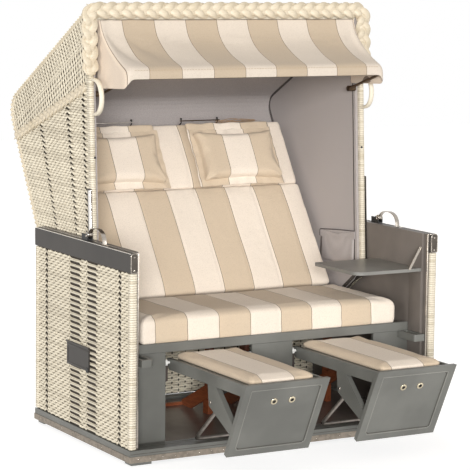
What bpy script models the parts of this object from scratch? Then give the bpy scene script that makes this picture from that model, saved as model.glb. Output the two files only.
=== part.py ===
"""Two-seat hooded beach chair: a wicker base with two arms and a seat box, a wicker hood that tilts
back, a folding awning, two pull-out footrests, a side tray, carry flaps, cushions and neck pillows.

Metres, +Z up. The sitter looks along -Y. The pieces are drawn with y = 0 at the front of the arms,
and the whole chair is then moved so that the origin is under the middle of its outer box.
"""

import math

import bmesh
import bpy
from mathutils import Matrix, Vector

# Shared clearances
TOUCH = 0.0003
BAY_CLEARANCE = 0.0135
HOOD_CLEARANCE = 0.0052

# Base: outer size and the layers of its foot, from the ground up
BASE_WIDTH = 1.283
BASE_DEPTH = 0.810
FOOT_HEIGHT = 0.012
FOOT_SIZE = (0.080, 0.050)
FOOT_INSET = 0.010
STRIP_HEIGHT = 0.022
STRIP_THICKNESS = 0.002
SILL_HEIGHT = 0.043
SILL_WIDTH = 0.0555
SILL_DEPTH = 0.034
FLOOR_THICKNESS = 0.012
FLOOR_DROP = 0.010

# Arms
WICKER_DEPTH = 0.028
WEAVE_THICKNESS = 0.020
WICKER_TOP = 0.681
ARM_TOP = 0.751
ARM_BOARD_THICKNESS = 0.018
ARM_BOARD_SETBACK = 0.012
RAIL_ROUND = 0.002
CAP_THICKNESS = 0.0022
CAP_LENGTH = 0.034
CAP_ROUND = 0.012
SLOT_COLUMNS = ((0.276, 0.359), (0.410, 0.504))
SLOT_PITCH = 0.020
SLOT_HEIGHT = 0.009
SLOT_MARGIN = 0.016

# Rear wall
REAR_TOP = 0.420
REAR_RAIL_HEIGHT = 0.025
REAR_RAIL_DEPTH = 0.026
REAR_SLOT_WIDTH_share = 0.151286
REAR_SLOT_CENTRE_shares = (-0.742982, -0.551353, -0.095814, 0.095814, 0.551353, 0.742982)

# Seat box
SEAT_FRONT = 0.115
SEAT_TOP = 0.404
SEAT_RAIL_HEIGHT = 0.034
SEAT_RAIL_THICKNESS = 0.018
PLANK_RECESS = 0.0045
PLANK_THICKNESS = 0.013
SEAT_BOARD_THICKNESS = 0.014
SEAT_BOARD_REAR = 0.620
SEAT_BOARD_WING_REAR = 0.470
SEAT_BOARD_SIDE_GAP = 0.0097
BEARER_THICKNESS = 0.018
BEARER_WIDTH = 0.040
BEARER_PLACE = 0.440

# Footrests, pulled out. A slot of the frame: the axle runs down sloped guides when it is pushed in.
FOOTREST_CENTRE_share = 0.205378
FOOTREST_HALF_share = 0.128215
FOOTREST_TOP = (-0.4386, 0.3495)
FOOTREST_TILT = math.radians(26.3)
AXLE_AT_REST = Vector((0.130, 0.330))
FOOTREST_SLIDE_share = 0.601235
FOOTREST_FALL = 0.2384
PANEL_LENGTH = 0.3045
PANEL_THICKNESS = 0.018
PANEL_MARGIN = 0.030
PANEL_RECESS = 0.003
RAIL_INSET = 0.0065
RAIL_THICKNESS = 0.012
RAIL_TOP = 0.3435
RAIL_FOOT = 0.3035
RAIL_REAR = 0.146
RAIL_CHAMFER = 0.016
PAD_BOARD_TOP = 0.3375
PAD_BOARD_THICKNESS = 0.008
PAD_SIDE_INSET = 0.032
PAD_FRONT = -0.408
PAD_REAR = 0.150
PAD_THICKNESS = 0.026
PAD_CROWN = 0.004
BRACE_OUTLINE = ((-0.150, 0.307), (-0.205, 0.307), (-0.330, 0.184), (-0.315, 0.150), (-0.160, 0.228))
BRACE_THICKNESS = 0.018
BRACE_FRONT = -0.300
AXLE_RADIUS = 0.005
ROLLER_RADIUS = 0.012
ROLLER_WIDTH = 0.0085
GUIDE_THICKNESS = 0.009
GUIDE_BOARD = 0.055
GUIDE_BEYOND = 0.035
STOP_LAP = 0.006
STOP_DEPTH = 0.015
STOP_HEIGHT = 0.012
STAY_RADIUS = 0.005
STAY_INSET = 0.0645
STAY_PIVOT = (-0.172, 0.242)
STAY_FOOT = (0.036, 0.064)
STAY_BEND = 0.014
ROSETTE_HOLE = 0.0045
ROSETTE_DOWN = 0.081
ROSETTE_PLACE = 0.0355

# Seat cushion
CUSHION_SIDE_GAP = 0.0377
CUSHION_FRONT = 0.112
CUSHION_REAR = 0.530
CUSHION_THICKNESS = 0.090
CUSHION_CROWN = 0.006

# Hood, seen from the side: posts, roof, back and the hinge
HOOD_HALF = BASE_WIDTH / 2 - WICKER_DEPTH - TOUCH - ARM_BOARD_THICKNESS - HOOD_CLEARANCE
HOOD_SIDE_THICKNESS = 0.024
LINING_THICKNESS = 0.008
COVER_THICKNESS = 0.030
POST_FRONT = 0.413
POST_FRONT_HEIGHT = 0.760
POST_DEPTH = 0.030
POST_FOOT = 0.557
HOOD_TOP = 1.587
RIM_RISE = 0.013
POST_LEAN = math.radians(3.2)
ROOF_SLOPE = math.radians(28.1)
BACK_SLOPE = math.radians(30.6)
BACK_POINT = (0.917, 0.741)
HOOD_CORNER_RADIUS = 0.100
HOOD_BACK_FOOT = 0.430
HOOD_HINGE = (0.655, 0.445)
HOOD_SKIRT = ((0.455, 0.518), (0.519, 0.473), (0.590, 0.412), (0.660, 0.385))
HINGE_BUSH_RADIUS = 0.022
BRAID_HEIGHT = 0.055
BRAID_PROUD = 0.012
BRAID_WRAP = 0.026
BRAID_BESIDE = 0.022
BRAID_LEG = 0.260
BRAID_ROUND = 0.022
HANDLE_RADIUS = 0.0075
HANDLE_INSET = 0.014
HANDLE_REACH = 0.070
HANDLE_DROP = 0.015
HANDLE_HEIGHT = 0.125
LOCK_STRIP = (0.600, 0.930)
LOCK_STRIP_WIDTH = 0.030
LOCK_STRIP_THICKNESS = 0.003
LOCK_HOLE_RADIUS = 0.004
LOCK_HOLES = 7

# Upholstery inside the hood
BACKREST_SIDE_GAP = 0.0397
BACKREST_FOOT = -0.398
BACKREST_TOP_DROP = 0.5465
BACKREST_THICK_FOOT = 0.158
BACKREST_THICK_TOP = 0.112
BACKREST_UPPER = 0.286
BACKREST_CHANNEL = 0.010
BACKREST_SEAM_REACH = 0.030
BACKREST_TAPER_share = 0.6667
PILLOW_HALF_share = 0.386100
PILLOW_CENTRE_share = 0.505792
PILLOW_FALL_shares = (0.25, 0.15)
PILLOW_REST = 0.0012
PILLOW_BELOW_TOP = 0.018
PILLOW_LENGTH = 0.250
PILLOW_THICKNESS = 0.062
POCKET_OUTLINE = ((0.450, 0.575), (0.690, 0.575), (0.691, 0.697), (0.549, 0.709), (0.442, 0.713))
POCKET_THICKNESS = 0.006

# Awning and its bow
BOW_PLACES = (0.462, 0.242)
BOW_DROPS = (0.316, 0.249)
BOW_SIDE_GAP = 0.0267
BOW_RADIUS = 0.005
BOW_KNOB_RADIUS = 0.011
BOW_BEND = 0.030
AWNING_SIDE_GAP = 0.0127
AWNING_BACK = 0.472
AWNING_THICKNESS = 0.003
AWNING_PLACES = (0.462, 0.446, 0.388, 0.305, 0.244)
AWNING_DROPS = (0.046, 0.087, 0.139, 0.185, 0.209)
AWNING_STRIP_DROPS = (0.231, 0.253)
AWNING_SIDE_DROPS = (0.287, 0.297)
AWNING_CORNER = 0.030
AWNING_CORNER_REACH = 0.045
AWNING_ACROSS = 14
AWNING_GUSSET_shares = (0.0, 0.33, 0.67, 0.92)

# Fittings on the arms
LOCK_BOW_PATH = ((0.372, 0.768), (0.350, 0.792), (0.268, 0.795), (0.240, 0.784), (0.236, 0.7496))
LOCK_BOW_INSET = 0.0105
LOCK_BOW_WIDTH = 0.014
LOCK_BOW_THICKNESS = 0.003
LOCK_BLOCK_SPAN = (0.364, 0.410)
LOCK_BLOCK_TOP = 0.774
LOCK_BLOCK_WALL = 0.004
FLAP_SPAN = (0.325, 0.515)
FLAP_HEIGHT = 0.085
FLAP_TOP = 0.364
FLAP_THICKNESS = 0.003
KNUCKLE_RADIUS = 0.004
TRAY_SPAN = (0.036, 0.335)
TRAY_WIDTH = 0.290
TRAY_TOP = 0.619
TRAY_THICKNESS = 0.012
TRAY_ROUND = 0.045
TRAY_AXIS_LIFT = 0.003
TRAY_STAY_INSETS = (0.0064, 0.0549)
TRAY_STAY_HEIGHTS = (0.700, 0.616)
TRAY_STAY_WIDTH = 0.010
TRAY_STAY_THICKNESS = 0.0025
HOLDER_WIDTH = 0.045
HOLDER_TOP = 0.373
HOLDER_HEIGHT = 0.026
HOLDER_WALL = 0.011
HOLDER_FRONT = 0.004
HOLDER_ROUND = 0.010

SIDES = (("left", -1), ("right", 1))

# Places that several pieces share
BASE_HALF = BASE_WIDTH / 2
SILL_TOP = FOOT_HEIGHT + SILL_HEIGHT
FLOOR_TOP = SILL_TOP - FLOOR_DROP
ARM_FOOT = SILL_TOP + TOUCH
WICKER_INNER = BASE_HALF - WICKER_DEPTH
BOARD_OUTER = WICKER_INNER - TOUCH
ARM_INNER = BOARD_OUTER - ARM_BOARD_THICKNESS
BETWEEN_ARMS = ARM_INNER - TOUCH
FOOTREST_CENTRE = BASE_WIDTH * FOOTREST_CENTRE_share
FOOTREST_HALF = BASE_WIDTH * FOOTREST_HALF_share
FOOTREST_SLIDE = Vector((BASE_DEPTH * FOOTREST_SLIDE_share, -FOOTREST_FALL))
RAIL_PLACE = FOOTREST_HALF - RAIL_INSET
PAD_HALF = FOOTREST_HALF - PAD_SIDE_INSET
STAY_PLACE = FOOTREST_HALF - STAY_INSET
BAY_HALF = FOOTREST_HALF + BAY_CLEARANCE
REAR_SLOT_WIDTH = BETWEEN_ARMS * REAR_SLOT_WIDTH_share
LOCK_BOW_PLACE = (BASE_HALF - LOCK_BOW_INSET - LOCK_BOW_WIDTH, BASE_HALF - LOCK_BOW_INSET)
TRAY_STAY_TOP = (BETWEEN_ARMS - TRAY_STAY_INSETS[0], TRAY_STAY_HEIGHTS[0])
TRAY_STAY_END = (BETWEEN_ARMS - TRAY_STAY_INSETS[1], TRAY_STAY_HEIGHTS[1])
LINING_OUTER = HOOD_HALF - HOOD_SIDE_THICKNESS - TOUCH
LINING_INNER = LINING_OUTER - LINING_THICKNESS
COVER_HALF = HOOD_HALF - HOOD_SIDE_THICKNESS - TOUCH
BACK_INSIDE = COVER_THICKNESS + TOUCH + LINING_THICKNESS
SEAT_BOARD_HALF = LINING_INNER - SEAT_BOARD_SIDE_GAP
CUSHION_HALF = LINING_INNER - CUSHION_SIDE_GAP
BACKREST_HALF = LINING_INNER - BACKREST_SIDE_GAP
PILLOW_HALF = BACKREST_HALF * PILLOW_HALF_share
PILLOW_CENTRE = BACKREST_HALF * PILLOW_CENTRE_share
BOW_HALF = LINING_INNER - BOW_SIDE_GAP
AWNING_HALF = LINING_INNER - AWNING_SIDE_GAP
BACKREST_TOP = (HOOD_TOP - BACKREST_TOP_DROP - BACK_POINT[1]) / math.cos(BACK_SLOPE)
BACKREST_SPAN = (BACKREST_FOOT, BACKREST_TOP)
BACKREST_SEAM = BACKREST_TOP - BACKREST_UPPER
PILLOW_SPAN = (BACKREST_TOP - PILLOW_BELOW_TOP - PILLOW_LENGTH, BACKREST_TOP - PILLOW_BELOW_TOP)
BOW_PIVOT = (BOW_PLACES[0], HOOD_TOP - BOW_DROPS[0])
BOW_BAR = (BOW_PLACES[1], HOOD_TOP - BOW_DROPS[1])
AWNING_PROFILE = [(y, HOOD_TOP - drop) for y, drop in zip(AWNING_PLACES, AWNING_DROPS)]
AWNING_STRIP = [HOOD_TOP - drop for drop in AWNING_STRIP_DROPS]
AWNING_SIDE_FOOT = [HOOD_TOP - drop for drop in AWNING_SIDE_DROPS]
BRAID_HALF = HOOD_HALF + BRAID_BESIDE
BRAID_LEG_FOOT = HOOD_TOP + RIM_RISE - BRAID_LEG
HANDLE_PLACE = HOOD_HALF - HANDLE_INSET
HANDLE_SPAN = (BRAID_LEG_FOOT - HANDLE_DROP - HANDLE_HEIGHT, BRAID_LEG_FOOT - HANDLE_DROP)


def clear_scene():
    for obj in list(bpy.data.objects):
        bpy.data.objects.remove(obj, do_unlink=True)


def make_collection(name):
    collection = bpy.data.collections.new(name)
    bpy.context.scene.collection.children.link(collection)
    return collection


def make_material(name, colour, roughness, metallic=0.0):
    material = bpy.data.materials.new(name)
    material.use_nodes = True
    shader = material.node_tree.nodes["Principled BSDF"]
    shader.inputs["Base Color"].default_value = (*colour, 1.0)
    shader.inputs["Roughness"].default_value = roughness
    shader.inputs["Metallic"].default_value = metallic
    material.diffuse_color = (*colour, 1.0)
    return material


clear_scene()
CHAIR = make_collection("hooded_beach_chair")
CUTTERS = make_collection("cutters")
WICKER = make_material("cream_wicker", (0.72, 0.66, 0.52), 0.65)
BRAID = make_material("cream_braid", (0.76, 0.71, 0.58), 0.60)
GREY = make_material("grey_paint", (0.18, 0.19, 0.18), 0.45)
DARK_GREY = make_material("dark_grey_paint", (0.10, 0.10, 0.09), 0.40)
STEEL = make_material("polished_steel", (0.70, 0.69, 0.66), 0.18, 1.0)
STRIP = make_material("aluminium_strip", (0.42, 0.36, 0.31), 0.45, 0.6)
LINING = make_material("grey_lining", (0.31, 0.29, 0.28), 0.90)
STRIPED = make_material("striped_cloth", (0.70, 0.59, 0.44), 0.85)
WOOD = make_material("brown_wood", (0.30, 0.12, 0.05), 0.55)
BRASS = make_material("brown_bow", (0.28, 0.19, 0.10), 0.35, 0.8)
NYLON = make_material("white_nylon", (0.85, 0.85, 0.83), 0.40)
BLACK = make_material("black_plastic", (0.02, 0.02, 0.02), 0.50)


def make_empty(name, location, parent=None):
    """A joint's axis, or the chair's own frame: the pieces that move with it hang under it."""
    empty = bpy.data.objects.new(name, None)
    CHAIR.objects.link(empty)
    empty.location = location
    if parent is not None:
        empty.parent = parent
        empty.matrix_parent_inverse = parent.matrix_world.inverted()
    bpy.context.view_layer.update()
    return empty


ROOT = make_empty("chair_frame", (0, 0, 0))


def place(obj, material, parent):
    if obj.name not in CHAIR.objects:
        CHAIR.objects.link(obj)
    obj.data.materials.clear()
    obj.data.materials.append(material)
    obj.parent = parent
    obj.matrix_parent_inverse = parent.matrix_world.inverted()
    return obj


def mesh_object(name, shape):
    mesh = bpy.data.meshes.new(name)
    shape.to_mesh(mesh)
    shape.free()
    return bpy.data.objects.new(name, mesh)


def add_box(shape, x, y, z, matrix=Matrix()):
    """One box in a bmesh, from its low and high place on each axis, then turned by the matrix."""
    size = Matrix.Diagonal((x[1] - x[0], y[1] - y[0], z[1] - z[0], 1.0))
    middle = Matrix.Translation(((x[0] + x[1]) / 2, (y[0] + y[1]) / 2, (z[0] + z[1]) / 2))
    return bmesh.ops.create_cube(shape, size=1.0, matrix=matrix @ middle @ size)["verts"]


def add_cylinder(shape, radius, start, end, sides=16):
    start, end = Vector(start), Vector(end)
    run = end - start
    matrix = Matrix.Translation((start + end) / 2) @ run.to_track_quat("Z", "Y").to_matrix().to_4x4()
    bmesh.ops.create_cone(shape, cap_ends=True, segments=sides, radius1=radius, radius2=radius,
                          depth=run.length, matrix=matrix)


def boxes(name, spans, material, parent, matrix=Matrix(), round_edge=0.0):
    """One node of separate boxes, each with its edges eased."""
    shape = bmesh.new()
    for x, y, z in spans:
        add_box(shape, x, y, z, matrix)
    obj = mesh_object(name, shape)
    if round_edge:
        bevel = obj.modifiers.new("eased_edges", "BEVEL")
        bevel.width = round_edge
        bevel.segments = 1
    return place(obj, material, parent)


def mirrored(x, side):
    """A low and high place on the right-hand side, for the side that is asked for."""
    return (x[0], x[1]) if side > 0 else (-x[1], -x[0])


def rounded(corners, radii, steps=6):
    """A closed outline with each corner replaced by an arc of its own radius."""
    points = []
    count = len(corners)
    for index, corner in enumerate(corners):
        here = Vector(corner)
        before = (Vector(corners[index - 1]) - here).normalized()
        after = (Vector(corners[(index + 1) % count]) - here).normalized()
        radius = radii[index] if isinstance(radii, (list, tuple)) else radii
        if not radius:
            points.append(tuple(here))
            continue
        half = before.angle(after) / 2
        reach = radius / math.tan(half)
        centre = here + (before + after).normalized() * radius / math.sin(half)
        start = here + before * reach - centre
        sweep = start.angle_signed(here + after * reach - centre)
        for step in range(steps + 1):
            turned = start.copy()
            turned.rotate(Matrix.Rotation(-sweep * step / steps, 2))
            points.append(tuple(centre + turned))
    return points


def rectangle(x, y):
    return [(x[0], y[0]), (x[1], y[0]), (x[1], y[1]), (x[0], y[1])]


def circle(centre, radius, sides=12):
    return [(centre[0] + radius * math.cos(math.tau * step / sides),
             centre[1] + radius * math.sin(math.tau * step / sides)) for step in range(sides)]


def band(path, thickness):
    """A closed outline that follows an open path on its left-hand side, at one thickness."""
    points = [Vector(point) for point in path]
    inner = []
    for index, point in enumerate(points):
        runs = []
        if index > 0:
            runs.append((point - points[index - 1]).normalized())
        if index < len(points) - 1:
            runs.append((points[index + 1] - point).normalized())
        normals = [Vector((-run.y, run.x)) for run in runs]
        normal = sum(normals, Vector((0, 0))).normalized()
        inner.append(tuple(point + normal * thickness / normal.dot(normals[0])))
    return [tuple(point) for point in points] + inner[::-1]


PLANES = {
    "XY": Matrix.Identity(4),
    "YZ": Matrix(((0, 0, 1, 0), (1, 0, 0, 0), (0, 1, 0, 0), (0, 0, 0, 1))),
    "XZ": Matrix(((1, 0, 0, 0), (0, 0, -1, 0), (0, 1, 0, 0), (0, 0, 0, 1))),
}


def outline_curve(name, loops, span, plane, matrix=Matrix()):
    """A flat outline, with any holes as further loops, extruded between two places across its plane."""
    curve = bpy.data.curves.new(name, "CURVE")
    curve.dimensions = "2D"
    curve.fill_mode = "BOTH"
    for loop in loops:
        spline = curve.splines.new("POLY")
        spline.points.add(len(loop) - 1)
        for point, (across, up) in zip(spline.points, loop):
            point.co = (across, up, 0, 1)
        spline.use_cyclic_u = True
    curve.extrude = abs(span[1] - span[0]) / 2
    obj = bpy.data.objects.new(name, curve)
    middle = (span[0] + span[1]) / 2
    if plane == "XZ":
        middle = -middle
    obj.matrix_world = matrix @ PLANES[plane] @ Matrix.Translation((0, 0, middle))
    return obj


def plate(name, loops, span, plane, material, parent, matrix=Matrix()):
    obj = outline_curve(name, loops, span, plane, matrix)
    world = obj.matrix_world.copy()
    place(obj, material, parent)
    obj.matrix_world = world
    return obj


def as_mesh(curve_object):
    """The welded mesh of a curve, in the chair's frame. The curve is removed."""
    CHAIR.objects.link(curve_object)
    bpy.context.view_layer.update()
    evaluated = curve_object.evaluated_get(bpy.context.evaluated_depsgraph_get())
    mesh = bpy.data.meshes.new_from_object(evaluated)
    shape = bmesh.new()
    shape.from_mesh(mesh)
    shape.transform(curve_object.matrix_world)
    bmesh.ops.remove_doubles(shape, verts=shape.verts, dist=TOUCH / 10)
    bpy.data.objects.remove(curve_object, do_unlink=True)
    bpy.data.meshes.remove(mesh)
    return shape


def one_body(name, shapes, material, parent):
    """The first shape, with the others joined to it by a Boolean each."""
    obj = place(mesh_object(name, shapes[0]), material, parent)
    obj.data.set_sharp_from_angle(angle=math.radians(35))
    for index, shape in enumerate(shapes[1:]):
        boolean(obj, f"{name}_added_{index}", shape, "UNION")
    return obj


def boolean(obj, name, shape, operation):
    """A hidden second solid, which moves with the object that it is joined to or cut from."""
    bmesh.ops.recalc_face_normals(shape, faces=shape.faces)
    other = mesh_object(name, shape)
    CUTTERS.objects.link(other)
    other.hide_render = True
    other.display_type = "WIRE"
    other.parent = obj.parent
    other.matrix_parent_inverse = obj.parent.matrix_world.inverted()
    modifier = obj.modifiers.new(name, "BOOLEAN")
    modifier.operation = operation
    modifier.solver = "EXACT"
    modifier.object = other


def outline_solid(loops, span, plane, matrix=Matrix()):
    return as_mesh(outline_curve("outline", loops, span, plane, matrix))


def tube_curve(name, points, radius, resolution=2):
    curve = bpy.data.curves.new(name, "CURVE")
    curve.dimensions = "3D"
    curve.bevel_depth = radius
    curve.bevel_resolution = resolution
    curve.use_fill_caps = True
    spline = curve.splines.new("POLY")
    spline.points.add(len(points) - 1)
    for point, co in zip(spline.points, points):
        point.co = (*co, 1)
    return bpy.data.objects.new(name, curve)


def tube(name, points, radius, material, parent, resolution=2):
    return place(tube_curve(name, points, radius, resolution), material, parent)


def bent(corners, radius, steps=5):
    """An open 3-D path with its inner corners rounded."""
    points = [tuple(corners[0])]
    for before, here, after in zip(corners, corners[1:], corners[2:]):
        here = Vector(here)
        back = (Vector(before) - here).normalized()
        on = (Vector(after) - here).normalized()
        reach = radius / math.tan(back.angle(on) / 2)
        start, end = here + back * reach, here + on * reach
        for step in range(steps + 1):
            share = step / steps
            points.append(tuple(start.lerp(here, share).lerp(here.lerp(end, share), share)))
    points.append(tuple(corners[-1]))
    return points


def padded(name, size, rows, depth_at, edge_pull, matrix, material, parent, cuts=5):
    """A cushion from a coarse cage under one subdivision. Its back lies on its own z = 0. rows gives the
    places of the cage's rows along it, from -1 to 1, and depth_at the height at a place across and a row."""
    shape = bmesh.new()
    bmesh.ops.create_cube(shape, size=2.0)
    bmesh.ops.subdivide_edges(shape, edges=shape.edges, cuts=cuts, use_grid_fill=True)
    for vert in shape.verts:
        across, along, level = vert.co
        row = round((along + 1) / 2 * (cuts + 1))
        along = rows[row]
        x = across * (size[0] / 2 - edge_pull * (1 - along * along))
        y = along * (size[1] / 2 - edge_pull * (1 - across * across))
        vert.co = (x, y, depth_at(across, row) * (level + 1) / 2)
    obj = mesh_object(name, shape)
    obj.data.transform(matrix)
    obj.data.shade_smooth()
    soften = obj.modifiers.new("soft_form", "SUBSURF")
    soften.levels = 1
    soften.render_levels = 1
    return place(obj, material, parent)


def build_base():
    outer = rectangle((-BASE_HALF, BASE_HALF), (0, BASE_DEPTH))
    inner_x = BASE_HALF - SILL_WIDTH
    hole = rectangle((-inner_x, inner_x), (SILL_DEPTH, BASE_DEPTH - SILL_WIDTH))
    shapes = [outline_solid([outer, hole], (FOOT_HEIGHT, SILL_TOP), "XY")]
    for _, side in SIDES:
        for y in (FOOT_INSET, BASE_DEPTH - FOOT_INSET - FOOT_SIZE[1]):
            x = mirrored((BASE_HALF - FOOT_INSET - FOOT_SIZE[0], BASE_HALF - FOOT_INSET), side)
            shapes.append(bmesh.new())
            add_box(shapes[-1], x, (y, y + FOOT_SIZE[1]), (0, FOOT_HEIGHT + STRIP_THICKNESS))
    one_body("base_sill", shapes, GREY, ROOT)
    floor_x = (-inner_x + TOUCH, inner_x - TOUCH)
    floor_y = (SILL_DEPTH + TOUCH, BASE_DEPTH - SILL_WIDTH - TOUCH)
    boxes("base_floor", [(floor_x, floor_y, (FLOOR_TOP - FLOOR_THICKNESS, FLOOR_TOP))], GREY, ROOT)
    skirt = BASE_HALF + STRIP_THICKNESS + TOUCH
    ring = [rectangle((-skirt, skirt), (-STRIP_THICKNESS - TOUCH, BASE_DEPTH + STRIP_THICKNESS + TOUCH)),
            rectangle((-BASE_HALF - TOUCH, BASE_HALF + TOUCH), (-TOUCH, BASE_DEPTH + TOUCH))]
    plate("base_strip", ring, (FOOT_HEIGHT, FOOT_HEIGHT + STRIP_HEIGHT), "XY", STRIP, ROOT)


def build_arms():
    slots = []
    for low, high in SLOT_COLUMNS:
        rows = int((WICKER_TOP - ARM_FOOT - SLOT_MARGIN * 2) / SLOT_PITCH)
        for row in range(rows):
            z = ARM_FOOT + SLOT_MARGIN + row * SLOT_PITCH
            slots.append(rectangle((low, high), (z, z + SLOT_HEIGHT)))
    outer = rectangle((0, BASE_DEPTH), (ARM_FOOT, WICKER_TOP))
    for word, side in SIDES:
        x = mirrored((BASE_HALF - WEAVE_THICKNESS, BASE_HALF), side)
        plate(f"wicker_{word}", [outer, *slots], x, "YZ", WICKER, ROOT)
        x = mirrored((ARM_INNER, BOARD_OUTER), side)
        board = rectangle((ARM_BOARD_SETBACK, BASE_DEPTH), (ARM_FOOT, ARM_TOP))
        pivot = circle(HOOD_HINGE, HINGE_BUSH_RADIUS / 2 / math.cos(math.pi / 16) + TOUCH, 16)
        plate(f"arm_board_{word}", [board, pivot], x, "YZ", GREY, ROOT)
        x = mirrored((WICKER_INNER, BASE_HALF), side)
        y = (CAP_THICKNESS + TOUCH, BASE_DEPTH)
        boxes(f"arm_rail_{word}", [(x, y, (WICKER_TOP + TOUCH, ARM_TOP - RAIL_ROUND))], DARK_GREY, ROOT,
              round_edge=RAIL_ROUND)
        cap = rounded(rectangle(x, (WICKER_TOP + TOUCH, ARM_TOP)), [0, 0, CAP_ROUND, CAP_ROUND])
        plate(f"arm_cap_{word}", [cap], (0, CAP_THICKNESS), "XZ", STEEL, ROOT)


def build_rear():
    x = BETWEEN_ARMS
    rear = (BASE_DEPTH - WEAVE_THICKNESS, BASE_DEPTH)
    top = REAR_TOP - REAR_RAIL_HEIGHT
    loops = [rectangle((-x, x), (ARM_FOOT, top - TOUCH))]
    rows = int((top - ARM_FOOT - SLOT_MARGIN * 2) / SLOT_PITCH)
    for centre in (BETWEEN_ARMS * share for share in REAR_SLOT_CENTRE_shares):
        for row in range(rows):
            z = ARM_FOOT + SLOT_MARGIN + row * SLOT_PITCH
            reach = REAR_SLOT_WIDTH / 2
            loops.append(rectangle((centre - reach, centre + reach), (z, z + SLOT_HEIGHT)))
    plate("rear_wicker", loops, rear, "XZ", WICKER, ROOT)
    boxes("rear_rail", [((-x, x), (BASE_DEPTH - REAR_RAIL_DEPTH, BASE_DEPTH), (top, REAR_TOP))],
          DARK_GREY, ROOT, round_edge=RAIL_ROUND)


def build_seat_box():
    x = BETWEEN_ARMS
    rail_foot = SEAT_TOP - SEAT_RAIL_HEIGHT
    boxes("seat_front_rail", [((-x, x), (SEAT_FRONT, SEAT_FRONT + SEAT_RAIL_THICKNESS),
                               (rail_foot, SEAT_TOP))], GREY, ROOT, round_edge=RAIL_ROUND)
    plank_y = (SEAT_FRONT + PLANK_RECESS, SEAT_FRONT + PLANK_RECESS + PLANK_THICKNESS)
    plank_z = (SILL_TOP + TOUCH, rail_foot - TOUCH)
    near = FOOTREST_CENTRE - BAY_HALF
    far = FOOTREST_CENTRE + BAY_HALF
    # The floor lies lower than the sill, so the planks run down to it.
    plank_z = (FLOOR_TOP + TOUCH, plank_z[1])
    for word, side in SIDES:
        # The outer planks stand on the side of the sill with a notch.
        sill = BASE_HALF - SILL_WIDTH - TOUCH
        notch = SILL_TOP + TOUCH
        plank = [(far, plank_z[0]), (sill, plank_z[0]), (sill, notch), (x, notch), (x, plank_z[1]),
                 (far, plank_z[1])]
        plate(f"plank_{word}", [[(side * px, pz) for px, pz in plank]], plank_y, "XZ", GREY, ROOT)
    boxes("plank_centre", [((-near, near), plank_y, plank_z)], GREY, ROOT)
    # The seat board is set in at the rear so that the hood's sides pass beside it.
    y = SEAT_FRONT + SEAT_RAIL_THICKNESS + TOUCH
    wing = SEAT_BOARD_WING_REAR
    half = SEAT_BOARD_HALF
    board = [(-half, y), (half, y), (half, wing), (CUSHION_HALF, SEAT_BOARD_REAR),
             (-CUSHION_HALF, SEAT_BOARD_REAR), (-half, wing)]
    plate("seat_board", [board], (SEAT_TOP - SEAT_BOARD_THICKNESS, SEAT_TOP - TOUCH), "XY", WOOD, ROOT)


def x_solid(name, loops, span, material, parent):
    """A flat outline in the side view, extruded across the chair."""
    return plate(name, loops, span, "YZ", material, parent)


def build_guides():
    """Sloped wooden guides, one on each side of each bay, that the rear rollers run down."""
    direction = FOOTREST_SLIDE.normalized()
    normal = Vector((-direction.y, direction.x))
    touch = AXLE_AT_REST - normal * (ROLLER_RADIUS + TOUCH)
    slope = direction.y / direction.x
    front_y = SEAT_FRONT + PLANK_RECESS
    front_z = touch.y + (front_y - touch.x) * slope
    rear_y = touch.x + FOOTREST_SLIDE.x + GUIDE_BEYOND
    rear_z = front_z + (rear_y - front_y) * slope
    low = FLOOR_TOP + TOUCH
    meets_floor = front_y + (low - front_z + GUIDE_BOARD) / slope
    outline = [(front_y, front_z), (front_y, front_z - GUIDE_BOARD), (meets_floor, low), (rear_y, low),
               (rear_y, rear_z)]
    # Beside each guide an upright carries the seat board, and a stop joins the two at the rear.
    upright_y = (BEARER_PLACE, BEARER_PLACE + BEARER_WIDTH)
    board = SEAT_TOP - SEAT_BOARD_THICKNESS - TOUCH
    under_guide = front_z + (upright_y[1] - front_y) * slope - TOUCH
    for word, bay in SIDES:
        centre = bay * FOOTREST_CENTRE
        shapes = []
        for inner in (-1, 1):
            edge = centre + inner * (BAY_HALF - TOUCH)
            span = sorted((edge, edge - inner * GUIDE_THICKNESS))
            shapes.append(outline_solid([outline], span, "YZ"))
            clear = centre + inner * (BAY_HALF + TOUCH)
            far = clear + inner * BEARER_THICKNESS
            upright = bmesh.new()
            add_box(upright, sorted((clear, far)), upright_y, (low, board))
            shapes.append(upright)
            root = bmesh.new()
            add_box(root, sorted((edge - inner * GUIDE_THICKNESS / 2, far - inner * TOUCH)),
                    (upright_y[0] + TOUCH, upright_y[1] - TOUCH), (low + TOUCH, under_guide))
            shapes.append(root)
        stop = bmesh.new()
        half = BAY_HALF - GUIDE_THICKNESS / 2
        add_box(stop, (centre - half, centre + half), (rear_y - STOP_LAP, rear_y - STOP_LAP + STOP_DEPTH),
                (low, low + STOP_HEIGHT))
        shapes.append(stop)
        one_body(f"footrest_guide_{word}", shapes, WOOD, ROOT)


def panel_place(down, proud):
    """A place on a footrest's leaning panel: down from its top edge, proud of its front face."""
    lean = FOOTREST_TILT
    return (FOOTREST_TOP[0] + down * math.sin(lean) - proud * math.cos(lean),
            FOOTREST_TOP[1] - down * math.cos(lean) - proud * math.sin(lean))


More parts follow.
